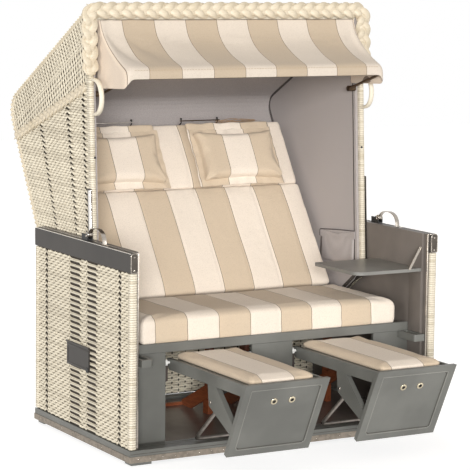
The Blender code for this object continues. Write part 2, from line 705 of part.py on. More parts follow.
def build_footrest(word, side):
    centre = side * FOOTREST_CENTRE
    carriage = make_empty(f"axle_slide_{word}", (centre, *AXLE_AT_REST), ROOT)
    frame_joint = make_empty(f"footrest_tilt_{word}", (centre, *AXLE_AT_REST), carriage)
    stay_joint = make_empty(f"stay_hinge_{word}", (centre, *STAY_PIVOT), frame_joint)

    half = BAY_HALF - TOUCH * 2
    roller = half - ROLLER_WIDTH
    profile = [(0, half), (ROLLER_RADIUS, half), (ROLLER_RADIUS, roller), (AXLE_RADIUS, roller),
               (AXLE_RADIUS, -roller), (ROLLER_RADIUS, -roller), (ROLLER_RADIUS, -half), (0, -half)]
    mesh = bpy.data.meshes.new(f"axle_{word}")
    mesh.from_pydata([(radius, 0, height) for radius, height in profile],
                     [(index, index + 1) for index in range(len(profile) - 1)], [])
    axle = bpy.data.objects.new(f"axle_{word}", mesh)
    turn = axle.modifiers.new("turned", "SCREW")
    turn.steps = 16
    turn.render_steps = 16
    turn.use_merge_vertices = True
    turn.merge_threshold = TOUCH / 10
    place(axle, NYLON, carriage)
    axle.matrix_world = Matrix.Translation((centre, *AXLE_AT_REST)) @ Matrix.Rotation(math.pi / 2, 4, "Y")

    thick = PANEL_THICKNESS
    back_top = panel_place(0, -thick)
    level_back = (back_top[0] + (back_top[1] - FOOTREST_TOP[1]) * math.tan(FOOTREST_TILT), FOOTREST_TOP[1])
    outline = [panel_place(0, 0), panel_place(PANEL_LENGTH, 0), panel_place(PANEL_LENGTH, -thick), level_back]
    span = (centre - FOOTREST_HALF, centre + FOOTREST_HALF)
    panel = one_body(f"footrest_panel_{word}", [outline_solid([outline], span, "YZ")], GREY, frame_joint)
    cut = [panel_place(PANEL_MARGIN, PANEL_RECESS), panel_place(PANEL_MARGIN, -PANEL_RECESS),
           panel_place(PANEL_LENGTH - PANEL_MARGIN, -PANEL_RECESS),
           panel_place(PANEL_LENGTH - PANEL_MARGIN, PANEL_RECESS)]
    cut_span = (span[0] + PANEL_MARGIN, span[1] - PANEL_MARGIN)
    boolean(panel, f"panel_field_{word}", outline_solid([cut], cut_span, "YZ"), "DIFFERENCE")
    for hand in (-1, 1):
        hole = bmesh.new()
        x = centre + hand * ROSETTE_PLACE
        add_cylinder(hole, ROSETTE_HOLE, (x, *panel_place(ROSETTE_DOWN, thick)),
                     (x, *panel_place(ROSETTE_DOWN, -thick * 2)), 12)
        boolean(panel, f"panel_eyelet_{word}_{hand}", hole, "DIFFERENCE")

    # Side rails, the board under the pad and the two braces are one frame.
    panel_back = panel_place(0, -thick - TOUCH)
    lean = math.tan(FOOTREST_TILT)
    behind = lambda z: panel_back[0] + (panel_back[1] - z) * lean
    solids = []
    board_z = (PAD_BOARD_TOP - PAD_BOARD_THICKNESS, PAD_BOARD_TOP)
    inner_rail = RAIL_PLACE - RAIL_THICKNESS
    for hand in (-1, 1):
        rail = [(behind(RAIL_TOP), RAIL_TOP), (behind(RAIL_FOOT), RAIL_FOOT),
                (RAIL_REAR - RAIL_CHAMFER, RAIL_FOOT), (RAIL_REAR, RAIL_FOOT + RAIL_CHAMFER),
                (RAIL_REAR, RAIL_TOP)]
        hole = circle(AXLE_AT_REST, AXLE_RADIUS + TOUCH)
        span = sorted((centre + hand * inner_rail, centre + hand * RAIL_PLACE))
        solids.append(outline_solid([rail, hole], span, "YZ"))
        brace = [(behind(z) if y < BRACE_FRONT else y, z) for y, z in BRACE_OUTLINE]
        hole = circle(STAY_PIVOT, STAY_RADIUS + TOUCH)
        outer = RAIL_PLACE - RAIL_THICKNESS / 4
        span = sorted((centre + hand * outer, centre + hand * (outer - BRACE_THICKNESS)))
        solids.append(outline_solid([brace, hole], span, "YZ"))
    rear = AXLE_AT_REST.x - AXLE_RADIUS - TOUCH
    board = [(behind(board_z[1]), board_z[1]), (behind(board_z[0]), board_z[0]), (rear, board_z[0]),
             (rear, board_z[1])]
    half = inner_rail + RAIL_THICKNESS / 4
    solids.append(outline_solid([board], (centre - half, centre + half), "YZ"))
    one_body(f"footrest_frame_{word}", solids, GREY, frame_joint)

    length = PAD_REAR - PAD_FRONT
    middle = Matrix.Translation((centre, (PAD_REAR + PAD_FRONT) / 2, PAD_BOARD_TOP + TOUCH))
    rows = (-1, -0.45, 0, 0.45, 1)
    padded(f"footrest_pad_{word}", (PAD_HALF * 2, length), rows,
           lambda across, row: PAD_THICKNESS + PAD_CROWN * (1 - across * across) * (1 - rows[row] ** 2),
           PAD_CROWN, middle, STRIPED, frame_joint, cuts=3)

    reach = RAIL_PLACE - BRACE_THICKNESS / 2
    corners = [(centre + reach, *STAY_PIVOT), (centre + STAY_PLACE, *STAY_PIVOT),
               (centre + STAY_PLACE, *STAY_FOOT), (centre - STAY_PLACE, *STAY_FOOT),
               (centre - STAY_PLACE, *STAY_PIVOT), (centre - reach, *STAY_PIVOT)]
    tube(f"footrest_stay_{word}", bent(corners, STAY_BEND), STAY_RADIUS, STEEL, stay_joint)


def post_y(z):
    return POST_FRONT + (z - POST_FRONT_HEIGHT) * math.tan(POST_LEAN)


def hood_line(inset, foot, front_gap):
    """The hood's roof and back in the side view, moved inward by inset, from its front edge round the
    rear corner to the height called foot."""
    roof = Vector((math.cos(ROOF_SLOPE), -math.sin(ROOF_SLOPE)))
    back = Vector((-math.sin(BACK_SLOPE), -math.cos(BACK_SLOPE)))
    roof_in = Vector((-math.sin(ROOF_SLOPE), -math.cos(ROOF_SLOPE)))
    back_in = Vector((-math.cos(BACK_SLOPE), math.sin(BACK_SLOPE)))
    top = Vector((post_y(HOOD_TOP), HOOD_TOP)) + roof_in * inset
    behind = Vector(BACK_POINT) + back_in * inset
    start = top
    for _ in range(3):
        start = top + roof * ((post_y(start.y) + front_gap - top.x) / roof.x)
    end = behind + back * ((foot - behind.y) / back.y)
    gap = behind - top
    cross = roof.x * back.y - roof.y * back.x
    corner = top + roof * ((gap.x * back.y - gap.y * back.x) / cross)
    line = rounded([tuple(start), tuple(corner), tuple(end)], [0, HOOD_CORNER_RADIUS - inset, 0])
    return line


def hood_side_outline(inset, grow=0.0):
    """The side of the hood: the roof and back, then the skirt forward to the post."""
    line = hood_line(inset, HOOD_BACK_FOOT, POST_DEPTH + TOUCH + grow)
    skirt = [(y, z) for y, z in HOOD_SKIRT[::-1]]
    behind_post = POST_FOOT - POST_DEPTH * math.tan(ROOF_SLOPE)
    return line + skirt + [(post_y(behind_post) + POST_DEPTH + TOUCH, behind_post)]


def build_hood(joint):
    outline = hood_side_outline(0)
    lining = hood_side_outline(COVER_THICKNESS + TOUCH)
    for word, side in SIDES:
        x = mirrored((HOOD_HALF - HOOD_SIDE_THICKNESS, HOOD_HALF), side)
        pin = bmesh.new()
        start = side * (HOOD_HALF - HOOD_SIDE_THICKNESS / 2)
        add_cylinder(pin, HINGE_BUSH_RADIUS / 2, (start, *HOOD_HINGE), (side * BOARD_OUTER, *HOOD_HINGE))
        one_body(f"hood_side_{word}", [outline_solid([outline], x, "YZ"), pin], WICKER, joint)
        x = mirrored((LINING_INNER, LINING_OUTER), side)
        x_solid(f"lining_{word}", [lining], x, LINING, joint)
        roof = math.tan(ROOF_SLOPE)
        foot, top = POST_FOOT, HOOD_TOP - COVER_THICKNESS / math.cos(ROOF_SLOPE) - TOUCH
        rear_foot, rear_top = foot - POST_DEPTH * roof, top - POST_DEPTH * roof
        post = [(post_y(foot), foot), (post_y(rear_foot) + POST_DEPTH, rear_foot),
                (post_y(rear_top) + POST_DEPTH, rear_top), (post_y(top), top)]
        x_solid(f"hood_post_{word}", [post], mirrored((LINING_INNER, HOOD_HALF), side), BRAID, joint)
        # The strip stands along the post, with a row of holes.
        strip_x = mirrored((HOOD_HALF + TOUCH, HOOD_HALF + TOUCH + LOCK_STRIP_THICKNESS), side)
        middle = POST_DEPTH / 2
        low, high = LOCK_STRIP
        loops = [[(post_y(low), low), (post_y(low) + POST_DEPTH, low), (post_y(high) + POST_DEPTH, high),
                  (post_y(high), high)]]
        step = (high - low) / (LOCK_HOLES + 1)
        for index in range(LOCK_HOLES):
            z = low + step * (index + 1)
            loops.append(circle((post_y(z) + middle, z), LOCK_HOLE_RADIUS, 8))
        x_solid(f"lock_strip_{word}", loops, strip_x, STEEL, joint)
        low, high = HANDLE_SPAN
        reach = -HANDLE_REACH
        corners = [(side * HANDLE_PLACE, post_y(low) - TOUCH * 3, low),
                   (side * HANDLE_PLACE, post_y(low) + reach, low),
                   (side * HANDLE_PLACE, post_y(high) + reach, high),
                   (side * HANDLE_PLACE, post_y(high) - TOUCH * 3, high)]
        tube(f"loop_handle_{word}", bent(corners, HANDLE_REACH / 2), HANDLE_RADIUS, BRAID, joint)

    cover_line = hood_line(0, HOOD_BACK_FOOT, COVER_THICKNESS * math.sin(ROOF_SLOPE) + TOUCH)
    x_solid("hood_cover", [band(cover_line[::-1], COVER_THICKNESS)], (-COVER_HALF, COVER_HALF), WICKER, joint)
    inner = COVER_THICKNESS + TOUCH
    gap = POST_DEPTH + TOUCH
    line = hood_line(inner, HOOD_BACK_FOOT, gap)
    half = LINING_INNER - TOUCH
    x_solid("lining_back", [band(line[::-1], LINING_THICKNESS)], (-half, half), LINING, joint)

    # The rim: a braided inverted U that wraps the hood's front edge, cut away where the hood fills it.
    lean = Matrix.Translation((0, post_y(HOOD_TOP), HOOD_TOP)) @ Matrix.Rotation(-POST_LEAN, 4, "X")
    top, foot = RIM_RISE, BRAID_LEG_FOOT - HOOD_TOP
    arch = rounded([(-BRAID_HALF, foot), (BRAID_HALF, foot), (BRAID_HALF, top), (-BRAID_HALF, top)],
                   [0, 0, BRAID_ROUND, BRAID_ROUND])
    opening = top - BRAID_HEIGHT
    inner_x = LINING_INNER
    arch = arch[:1] + [(-inner_x, foot), (-inner_x, opening), (inner_x, opening), (inner_x, foot)] + arch[1:]
    rim = one_body("rim_braid", [outline_solid([arch], (-BRAID_PROUD, BRAID_WRAP), "XZ", lean)], BRAID, joint)
    pocket = rectangle((-HOOD_HALF - TOUCH, HOOD_HALF + TOUCH), (foot - BRAID_HEIGHT, TOUCH))
    cutter = outline_solid([pocket], (-TOUCH, BRAID_WRAP + BRAID_PROUD), "XZ", lean)
    boolean(rim, "rim_pocket", cutter, "DIFFERENCE")


def back_frame(x, along):
    """A frame on the hood's inner back: its z points into the hood and its y up along the back."""
    up = Vector((0, math.sin(BACK_SLOPE), math.cos(BACK_SLOPE)))
    out = Vector((0, -math.cos(BACK_SLOPE), math.sin(BACK_SLOPE)))
    inside = BACK_INSIDE + TOUCH
    origin = Vector((x, *BACK_POINT)) + out * inside + up * along
    return Matrix.Translation(origin) @ Matrix((
        (1, 0, 0, 0), (0, up.y, out.y, 0), (0, up.z, out.z, 0), (0, 0, 0, 1)))


def build_upholstery(joint):
    low, high = BACKREST_SPAN
    length = high - low
    seam = (BACKREST_SEAM - low) / length * 2 - 1
    near = BACKREST_SEAM_REACH / length
    rows = (-1, -0.5, seam - near, seam, seam + near, 0.65, 1)

    def depth(across, row):
        share = (rows[row] + 1) / 2
        flat = BACKREST_THICK_FOOT + (BACKREST_THICK_TOP - BACKREST_THICK_FOOT) * min(1, share / BACKREST_TAPER_share)
        return flat - (BACKREST_CHANNEL if row == 3 else 0)

    padded("backrest_cushion", (BACKREST_HALF * 2, length), rows, depth, BACKREST_CHANNEL / 2,
           back_frame(0, (low + high) / 2), STRIPED, joint)
    low, high = PILLOW_SPAN
    rows = (-1, -0.5, 0, 0.5, 1)
    for word, side in SIDES:
        rise = BACKREST_THICK_TOP + PILLOW_REST
        seat = back_frame(side * PILLOW_CENTRE, (low + high) / 2) @ Matrix.Translation((0, 0, rise))
        padded(f"neck_pillow_{word}", (PILLOW_HALF * 2, high - low), rows,
               lambda across, row: PILLOW_THICKNESS * (1 - PILLOW_FALL_shares[0] * abs(rows[row])
                                                       - PILLOW_FALL_shares[1] * abs(across)),
               BACKREST_CHANNEL / 2, seat, STRIPED, joint, cuts=3)
    x = (LINING_INNER - TOUCH - POCKET_THICKNESS, LINING_INNER - TOUCH)
    x_solid("side_pocket", [POCKET_OUTLINE], x, LINING, joint)


def build_awning(joint):
    bow_joint = make_empty("bow_hinge", (0, *BOW_PIVOT), joint)
    corners = [(-BOW_HALF, *BOW_PIVOT), (-BOW_HALF, *BOW_BAR), (BOW_HALF, *BOW_BAR), (BOW_HALF, *BOW_PIVOT)]
    shapes = [as_mesh(tube_curve("bow", bent(corners, BOW_BEND), BOW_RADIUS))]
    for _, side in SIDES:
        knob = bmesh.new()
        start, end = side * (BOW_HALF - BOW_RADIUS), side * (LINING_INNER - TOUCH)
        add_cylinder(knob, BOW_KNOB_RADIUS, (start, *BOW_PIVOT), (end, *BOW_PIVOT))
        shapes.append(knob)
    one_body("awning_bow", shapes, BRASS, bow_joint)

    # One sheet: a front that bellies to the bar, and a gusset back to the post on each side.
    shape = bmesh.new()
    grid = []
    front_y = BOW_BAR[0] - BOW_RADIUS - AWNING_THICKNESS / 2 - TOUCH
    profile = [*AWNING_PROFILE, *((front_y, z) for z in AWNING_STRIP)]
    for y, z in profile:
        fall = (profile[0][1] - z) / (profile[0][1] - profile[-1][1])
        side_z = z + (AWNING_SIDE_FOOT[0] - profile[-1][1]) * fall ** 2
        back_z = AWNING_PROFILE[0][1] + (AWNING_SIDE_FOOT[1] - AWNING_PROFILE[0][1]) * fall
        half = AWNING_HALF
        right = [(half, AWNING_BACK + (y - AWNING_BACK) * share, back_z + (side_z - back_z) * share)
                 for share in AWNING_GUSSET_shares]
        right.append((half - AWNING_CORNER / 4, y, (side_z + z) / 2))
        flat = half - AWNING_CORNER_REACH
        front = [flat - 2 * flat * index / AWNING_ACROSS for index in range(AWNING_ACROSS + 1)]
        run = right + [(x, y, z) for x in front] + [(-x, py, pz) for x, py, pz in right[::-1]]
        grid.append([shape.verts.new(point) for point in run])
    for upper, lower in zip(grid, grid[1:]):
        for index in range(len(upper) - 1):
            shape.faces.new((upper[index], upper[index + 1], lower[index + 1], lower[index]))
    bmesh.ops.recalc_face_normals(shape, faces=shape.faces)
    cloth = mesh_object("awning_cloth", shape)
    cloth.data.shade_smooth()
    thick = cloth.modifiers.new("cloth_thickness", "SOLIDIFY")
    thick.thickness = AWNING_THICKNESS
    thick.offset = 0
    place(cloth, STRIPED, joint)


def build_arm_fittings():
    low, high = LOCK_BOW_PLACE
    wall = LOCK_BLOCK_WALL
    foot = ARM_TOP + TOUCH
    for word, side in SIDES:
        joint = make_empty(f"lock_bow_hinge_{word}", (side * (low + high) / 2, *LOCK_BOW_PATH[0]), ROOT)
        x_solid(f"lock_bow_{word}", [band(LOCK_BOW_PATH, LOCK_BOW_THICKNESS)], mirrored(LOCK_BOW_PLACE, side),
                STEEL, joint)
        inner, outer = low - TOUCH, high + TOUCH
        cheeks = [(inner - wall, foot), (outer + wall, foot), (outer + wall, LOCK_BLOCK_TOP),
                  (outer, LOCK_BLOCK_TOP), (outer, foot + wall), (inner, foot + wall),
                  (inner, LOCK_BLOCK_TOP), (inner - wall, LOCK_BLOCK_TOP)]
        cheeks = [(side * x, z) for x, z in cheeks]
        plate(f"lock_bracket_{word}", [cheeks], LOCK_BLOCK_SPAN, "XZ", BLACK, ROOT)

        flap_x = BASE_HALF + TOUCH
        axis = (side * (flap_x + KNUCKLE_RADIUS), FLAP_SPAN[0], FLAP_TOP)
        joint = make_empty(f"flap_hinge_{word}", axis, ROOT)
        sheet = bmesh.new()
        add_box(sheet, mirrored((flap_x, flap_x + FLAP_THICKNESS), side), FLAP_SPAN,
                (FLAP_TOP - FLAP_HEIGHT, FLAP_TOP))
        knuckle = bmesh.new()
        ends = (FLAP_SPAN[0] + TOUCH, FLAP_SPAN[1] - TOUCH)
        add_cylinder(knuckle, KNUCKLE_RADIUS, (axis[0], ends[0], axis[2]), (axis[0], ends[1], axis[2]), 10)
        one_body(f"carry_flap_{word}", [sheet, knuckle], DARK_GREY, joint)

        y = (HOLDER_FRONT, SEAT_FRONT - TOUCH)
        x = (ARM_INNER - TOUCH - HOLDER_WIDTH, ARM_INNER - TOUCH)
        rim = HOLDER_WALL
        ring = [rounded(rectangle(x, y), [HOLDER_ROUND, 0, 0, 0]),
                rounded(rectangle((x[0] + rim, x[1] - rim), (y[0] + rim, y[1] - rim)), HOLDER_ROUND / 2)]
        if side < 0:
            ring = [[(-px, py) for px, py in loop[::-1]] for loop in ring]
        plate(f"holder_{word}", ring, (HOLDER_TOP - HOLDER_HEIGHT, HOLDER_TOP), "XY", DARK_GREY, ROOT)


def build_tray():
    edge = ARM_INNER - TOUCH * 2
    axis = (edge - TRAY_THICKNESS / 2, TRAY_TOP + TRAY_AXIS_LIFT)
    joint = make_empty("tray_hinge", (axis[0], TRAY_SPAN[0], axis[1]), ROOT)
    near = edge - TRAY_WIDTH
    outline = rounded([(near, TRAY_SPAN[0]), (edge, TRAY_SPAN[0]), (edge, TRAY_SPAN[1]), (near, TRAY_SPAN[1])],
                      [TRAY_ROUND, 0, 0, TRAY_ROUND / 3])
    plate("tray", [outline], (TRAY_TOP - TRAY_THICKNESS, TRAY_TOP), "XY", DARK_GREY, joint)
    stay_joint = make_empty("tray_stay_hinge", (TRAY_STAY_TOP[0], TRAY_SPAN[0], TRAY_STAY_TOP[1]), ROOT)
    top, end = Vector(TRAY_STAY_TOP), Vector(TRAY_STAY_END)
    run = (end - top).normalized()
    across = Vector((-run.y, run.x)) * TRAY_STAY_WIDTH / 2
    outline = [tuple(top - across), tuple(end - across), tuple(end + across), tuple(top + across)]
    y = TRAY_SPAN[0] - TOUCH
    plate("tray_stay", [rounded(outline, TRAY_STAY_THICKNESS)], (y - TRAY_STAY_THICKNESS, y), "XZ", STEEL,
          stay_joint)


def build_seat_cushion():
    rows = (-1, -0.6, -0.2, 0.2, 0.5, 0.8, 1)
    middle = Matrix.Translation((0, (CUSHION_FRONT + CUSHION_REAR) / 2, SEAT_TOP + TOUCH))
    padded("seat_cushion", (CUSHION_HALF * 2, CUSHION_REAR - CUSHION_FRONT), rows,
           lambda across, row: CUSHION_THICKNESS + CUSHION_CROWN * (1 - across * across) * (1 - rows[row] ** 2),
           CUSHION_CROWN, middle, STRIPED, ROOT)


def stand_over_origin():
    """Moves the whole chair so that the origin is under the middle of its outer box."""
    bpy.context.view_layer.update()
    graph = bpy.context.evaluated_depsgraph_get()
    low, high = Vector((1e3, 1e3, 1e3)), Vector((-1e3, -1e3, -1e3))
    for obj in CHAIR.objects:
        if obj.type == "EMPTY":
            continue
        evaluated = obj.evaluated_get(graph)
        for vert in evaluated.to_mesh().vertices:
            point = evaluated.matrix_world @ vert.co
            low = Vector(map(min, low, point))
            high = Vector(map(max, high, point))
        evaluated.to_mesh_clear()
    ROOT.location = (-(low.x + high.x) / 2, -(low.y + high.y) / 2, -low.z)
    bpy.context.view_layer.update()


build_base()
build_arms()
build_rear()
build_seat_box()
build_guides()
for side_word, side_sign in SIDES:
    build_footrest(side_word, side_sign)
HOOD_JOINT = make_empty("hood_hinge", (0, *HOOD_HINGE), ROOT)
build_hood(HOOD_JOINT)
build_upholstery(HOOD_JOINT)
build_awning(HOOD_JOINT)
build_arm_fittings()
build_tray()
build_seat_cushion()
stand_over_origin()
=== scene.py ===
"""A two-seat hooded beach chair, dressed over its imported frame: woven strands, plaited rim, striped
cloth, painted boards and polished fittings."""

import math

import bmesh
import bpy
import numpy as np
from mathutils import Matrix, Vector


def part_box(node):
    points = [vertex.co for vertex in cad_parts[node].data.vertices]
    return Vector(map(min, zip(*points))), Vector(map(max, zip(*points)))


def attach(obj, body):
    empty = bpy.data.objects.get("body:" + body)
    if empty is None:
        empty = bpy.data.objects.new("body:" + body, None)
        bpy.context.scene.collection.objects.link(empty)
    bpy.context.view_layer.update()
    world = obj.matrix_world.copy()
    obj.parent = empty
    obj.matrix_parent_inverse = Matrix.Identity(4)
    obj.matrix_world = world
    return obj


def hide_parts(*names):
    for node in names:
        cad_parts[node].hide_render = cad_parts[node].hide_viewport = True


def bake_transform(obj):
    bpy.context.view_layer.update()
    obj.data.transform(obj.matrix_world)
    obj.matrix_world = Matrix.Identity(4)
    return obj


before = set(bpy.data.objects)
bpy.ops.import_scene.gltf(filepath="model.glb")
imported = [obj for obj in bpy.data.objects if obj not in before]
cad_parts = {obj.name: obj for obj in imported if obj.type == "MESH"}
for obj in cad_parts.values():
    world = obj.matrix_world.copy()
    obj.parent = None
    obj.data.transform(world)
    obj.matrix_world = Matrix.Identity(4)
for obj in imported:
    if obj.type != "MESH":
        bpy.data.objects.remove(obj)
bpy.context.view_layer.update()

# Places taken from the frame. FRONT is the plane of the arms' front edges.
SIDES = (("left", -1), ("right", 1))
ARM_LOW, ARM_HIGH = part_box("wicker_right")
FRONT, REAR = ARM_LOW[1], ARM_HIGH[1]
ARM_OUT = ARM_HIGH[0]
BOARD_LOW, BOARD_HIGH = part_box("arm_board_right")
POST_LOW, POST_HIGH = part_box("hood_post_right")
HOOD_OUT, LINING_IN = POST_HIGH[0], POST_LOW[0]

# Camera, fitted to the photograph
CAMERA_PLACE = Vector((-3.7941, FRONT - 6.2779, 1.7417))
CAMERA_TURN = math.radians(-29.575)
CAMERA_RISE = math.radians(7.479)
CAMERA_ROLL = math.radians(0.684)
CAMERA_LENS = 157.8


def srgb(red, green, blue):
    """A colour as read from a picture, 0 to 255, as the linear values that a shader takes."""
    values = [channel / 255 for channel in (red, green, blue)]
    return tuple(((v + 0.055) / 1.055) ** 2.4 if v > 0.04045 else v / 12.92 for v in values)


# Colours
STRAND_LIGHT = srgb(229, 220, 199)
STRAND_DARK = srgb(176, 162, 136)
STRAND_GREY = srgb(208, 199, 179)
PLAIT_LIGHT = srgb(209, 197, 175)
PLAIT_DARK = srgb(186, 172, 142)
BOUND_LIGHT = srgb(228, 219, 200)
BOUND_DARK = srgb(206, 196, 174)
# Painted shade: the dark of the hollows behind the weave and of grooves and gaps
SHADE_CORE_DARK = srgb(64, 57, 49)
EDGE_SHADE = srgb(150, 136, 112)
PAINT_GREY = srgb(106, 106, 101)
LINING_GREY = srgb(186, 179, 176)
LINING_THREAD = srgb(162, 155, 153)
CLOTH_BEIGE = srgb(212, 193, 168)
CLOTH_CREAM = srgb(240, 227, 211)
CLOTH_LINE = srgb(126, 108, 92)
# The awning's side gussets in a darker cream: painted shade for the side panels
CLOTH_SIDE_SHADED = srgb(226, 209, 190)
STRIP_METAL = srgb(150, 140, 128)
BOW_BROWN = srgb(96, 80, 64)
GUIDE_WOOD = srgb(142, 76, 42)
GUIDE_GRAIN = srgb(112, 58, 32)
# The guide wood's painted shade colour, and the span along Y over which it darkens the front ends
GUIDE_SHADE_DARK = srgb(62, 54, 49)
GUIDE_SHADE_SPAN = (-0.10, 0.02)
FLOOR_BOARD = srgb(128, 116, 110)


# Small helpers for shader and geometry trees


class Tree:
    """Adds nodes to a tree and links them as they are made."""

    def __init__(self, tree):
        self.tree = tree

    def add(self, kind, inputs=None, **settings):
        node = self.tree.nodes.new(kind)
        for name, value in settings.items():
            setattr(node, name, value)
        for key, value in (inputs or {}).items():
            self.feed(node.inputs[key], value)
        return node

    def feed(self, socket, value):
        if isinstance(value, bpy.types.NodeSocket):
            self.tree.links.new(value, socket)
        elif isinstance(value, bpy.types.Node):
            self.tree.links.new(value.outputs[0], socket)
        else:
            socket.default_value = value

    def math(self, operation, *values):
        node = self.tree.nodes.new("ShaderNodeMath")
        node.operation = operation
        for socket, value in zip(node.inputs, values):
            self.feed(socket, value)
        return node.outputs[0]

    def mix(self, share, first, second):
        node = self.tree.nodes.new("ShaderNodeMix")
        node.data_type = "RGBA"
        self.feed(node.inputs[0], share)
        for socket, value in ((node.inputs[6], first), (node.inputs[7], second)):
            self.feed(socket, (*value, 1.0) if isinstance(value, tuple) and len(value) == 3 else value)
        return node.outputs[2]


def new_material(name, roughness, metallic=0.0, **sockets):
    """A material with a Principled shader. Returns it with its tree helper, shader and object place."""
    material = bpy.data.materials.new(name)
    material.use_nodes = True
    shader = material.node_tree.nodes["Principled BSDF"]
    shader.inputs["Roughness"].default_value = roughness
    shader.inputs["Metallic"].default_value = metallic
    for key, value in sockets.items():
        shader.inputs[key.replace("_", " ")].default_value = value
    tree = Tree(material.node_tree)
    place = tree.add("ShaderNodeTexCoord").outputs["Object"]
    return material, tree, shader, place


def stretched(tree, place, scale):
    return tree.add("ShaderNodeMapping", {"Vector": place, "Scale": scale}).outputs[0]


def noise(tree, place, scale, detail=2.0, roughness=0.5):
    node = tree.add("ShaderNodeTexNoise", {"Vector": place, "Scale": scale, "Detail": detail,
                                           "Roughness": roughness})
    return node.outputs["Fac"]


def bump(tree, shader, height, distance, strength=1.0):
    node = tree.add("ShaderNodeBump", {"Height": height, "Distance": distance, "Strength": strength})
    tree.feed(shader.inputs["Normal"], node)


def smoothly(tree, value, low, high):
    node = tree.add("ShaderNodeMapRange", {"Value": value, "From Min": low, "From Max": high},
                    interpolation_type="SMOOTHSTEP")
    return node.outputs[0]


# Materials


STRIPE_LINE = 0.0011
CORNER_LINE = 0.0009
STRIPED_THREAD = 0.0022
LINING_THREAD_PITCH = 0.003
PAINT_LIGHTER, PAINT_DARKER = 1.18, 0.85


def strand_material(name, light, dark, grey, roughness=0.45):
    """Flat moulded strands: each has its own tone, with faint streaks along it."""
    material, tree, shader, place = new_material(name, roughness)
    tone = tree.add("ShaderNodeAttribute", attribute_name="tone").outputs["Fac"]
    streak = noise(tree, stretched(tree, place, (1.0, 1.0, 6.0)), 45.0, 3.0)
    patch = noise(tree, place, 9.0, 2.0)
    base = tree.mix(smoothly(tree, tone, 0.55, 1.0), light, grey)
    base = tree.mix(tree.math("MULTIPLY", smoothly(tree, streak, 0.45, 0.8), 0.55), base, dark)
    base = tree.mix(tree.math("MULTIPLY", smoothly(tree, patch, 0.5, 0.75), 0.35), base, grey)
    across = tree.math("ABSOLUTE", tree.add("ShaderNodeAttribute", attribute_name="across").outputs["Fac"])
    base = tree.mix(tree.math("MULTIPLY", smoothly(tree, across, 0.24, 0.45), 0.40), base, EDGE_SHADE)
    tree.feed(shader.inputs["Base Color"], base)
    bump(tree, shader, streak, 0.0006, 0.5)
    return material


def cloth_weave(tree, place, thread):
    """Height of a plain weave with threads of the given pitch, on all three axes."""
    parts = tree.add("ShaderNodeSeparateXYZ", {"Vector": place}).outputs
    waves = [tree.math("SINE", tree.math("MULTIPLY", part, math.tau / thread)) for part in parts]
    return tree.math("ADD", tree.math("MULTIPLY", waves[0], waves[2]), tree.math("MULTIPLY", waves[0], waves[1]))


def striped_material(name, start, pitch, first_is_beige=True, corner=None, painted_shade_factor=1.0):
    """Cream and beige stripes across X with a thin dark line where they meet."""
    material, tree, shader, place = new_material(name, 0.85, Sheen_Weight=0.15, Sheen_Roughness=0.5)
    across = tree.add("ShaderNodeSeparateXYZ", {"Vector": place}).outputs[0]
    cell = tree.math("DIVIDE", tree.math("SUBTRACT", across, start), pitch)
    parity = tree.math("FLOORED_MODULO", tree.math("FLOOR", cell), 2.0)
    # Both stripe colours are scaled down here as painted shade, for cloth that hangs in shade
    colours = [tuple(channel * painted_shade_factor for channel in cloth) for cloth in (CLOTH_BEIGE, CLOTH_CREAM)]
    colours = colours if first_is_beige else colours[::-1]
    base = tree.mix(parity, *colours)
    nearest = tree.math("ABSOLUTE", tree.math("SUBTRACT", tree.math("FRACT", tree.math("ADD", cell, 0.5)), 0.5))
    line = tree.math("LESS_THAN", nearest, STRIPE_LINE / pitch)
    base = tree.mix(line, base, CLOTH_LINE)
    # Past the corner the side gusset takes a darker cream as painted shade
    if corner:
        away = tree.math("SUBTRACT", tree.math("ABSOLUTE", across), corner)
        base = tree.mix(tree.math("GREATER_THAN", away, 0.0), base, CLOTH_SIDE_SHADED)
        base = tree.mix(tree.math("LESS_THAN", tree.math("ABSOLUTE", away), CORNER_LINE), base, CLOTH_LINE)
    mottle = noise(tree, place, 320.0, 2.0)
    base = tree.mix(tree.math("MULTIPLY", smoothly(tree, mottle, 0.45, 0.75), 0.16), base, CLOTH_LINE)
    tree.feed(shader.inputs["Base Color"], base)
    weave = cloth_weave(tree, place, STRIPED_THREAD)
    folds = noise(tree, place, 14.0, 3.0)
    height = tree.math("ADD", tree.math("MULTIPLY", weave, 0.12), tree.math("MULTIPLY", folds, 3.0))
    bump(tree, shader, height, 0.0016, 0.8)
    return material


def lining_material():
    """Grey lining cloth with fine threads, paler and darker in broad patches."""
    material, tree, shader, place = new_material("lining_cloth", 0.9)
    fine = noise(tree, stretched(tree, place, (1.0, 1.0, 5.0)), 260.0, 2.0)
    broad = noise(tree, place, 3.0, 2.0)
    base = tree.mix(smoothly(tree, fine, 0.35, 0.7), LINING_GREY, LINING_THREAD)
    base = tree.mix(tree.math("MULTIPLY", broad, 0.25), base, LINING_THREAD)
    tree.feed(shader.inputs["Base Color"], base)
    bump(tree, shader, cloth_weave(tree, place, LINING_THREAD_PITCH), 0.0005, 0.6)
    return material


def painted_material(name, colour, roughness=0.42):
    """Painted boards: an even coat with a faint grain below it and softly worn patches."""
    material, tree, shader, place = new_material(name, roughness)
    grain = noise(tree, stretched(tree, place, (14.0, 14.0, 1.2)), 22.0, 3.0)
    patch = noise(tree, place, 5.0, 3.0)
    lighter = tuple(min(1.0, channel * PAINT_LIGHTER) for channel in colour)
    darker = tuple(channel * PAINT_DARKER for channel in colour)
    base = tree.mix(smoothly(tree, patch, 0.3, 0.7), darker, lighter)
    base = tree.mix(tree.math("MULTIPLY", smoothly(tree, grain, 0.5, 0.8), 0.18), base, darker)
    tree.feed(shader.inputs["Base Color"], base)
    bump(tree, shader, grain, 0.0004, 0.35)
    return material


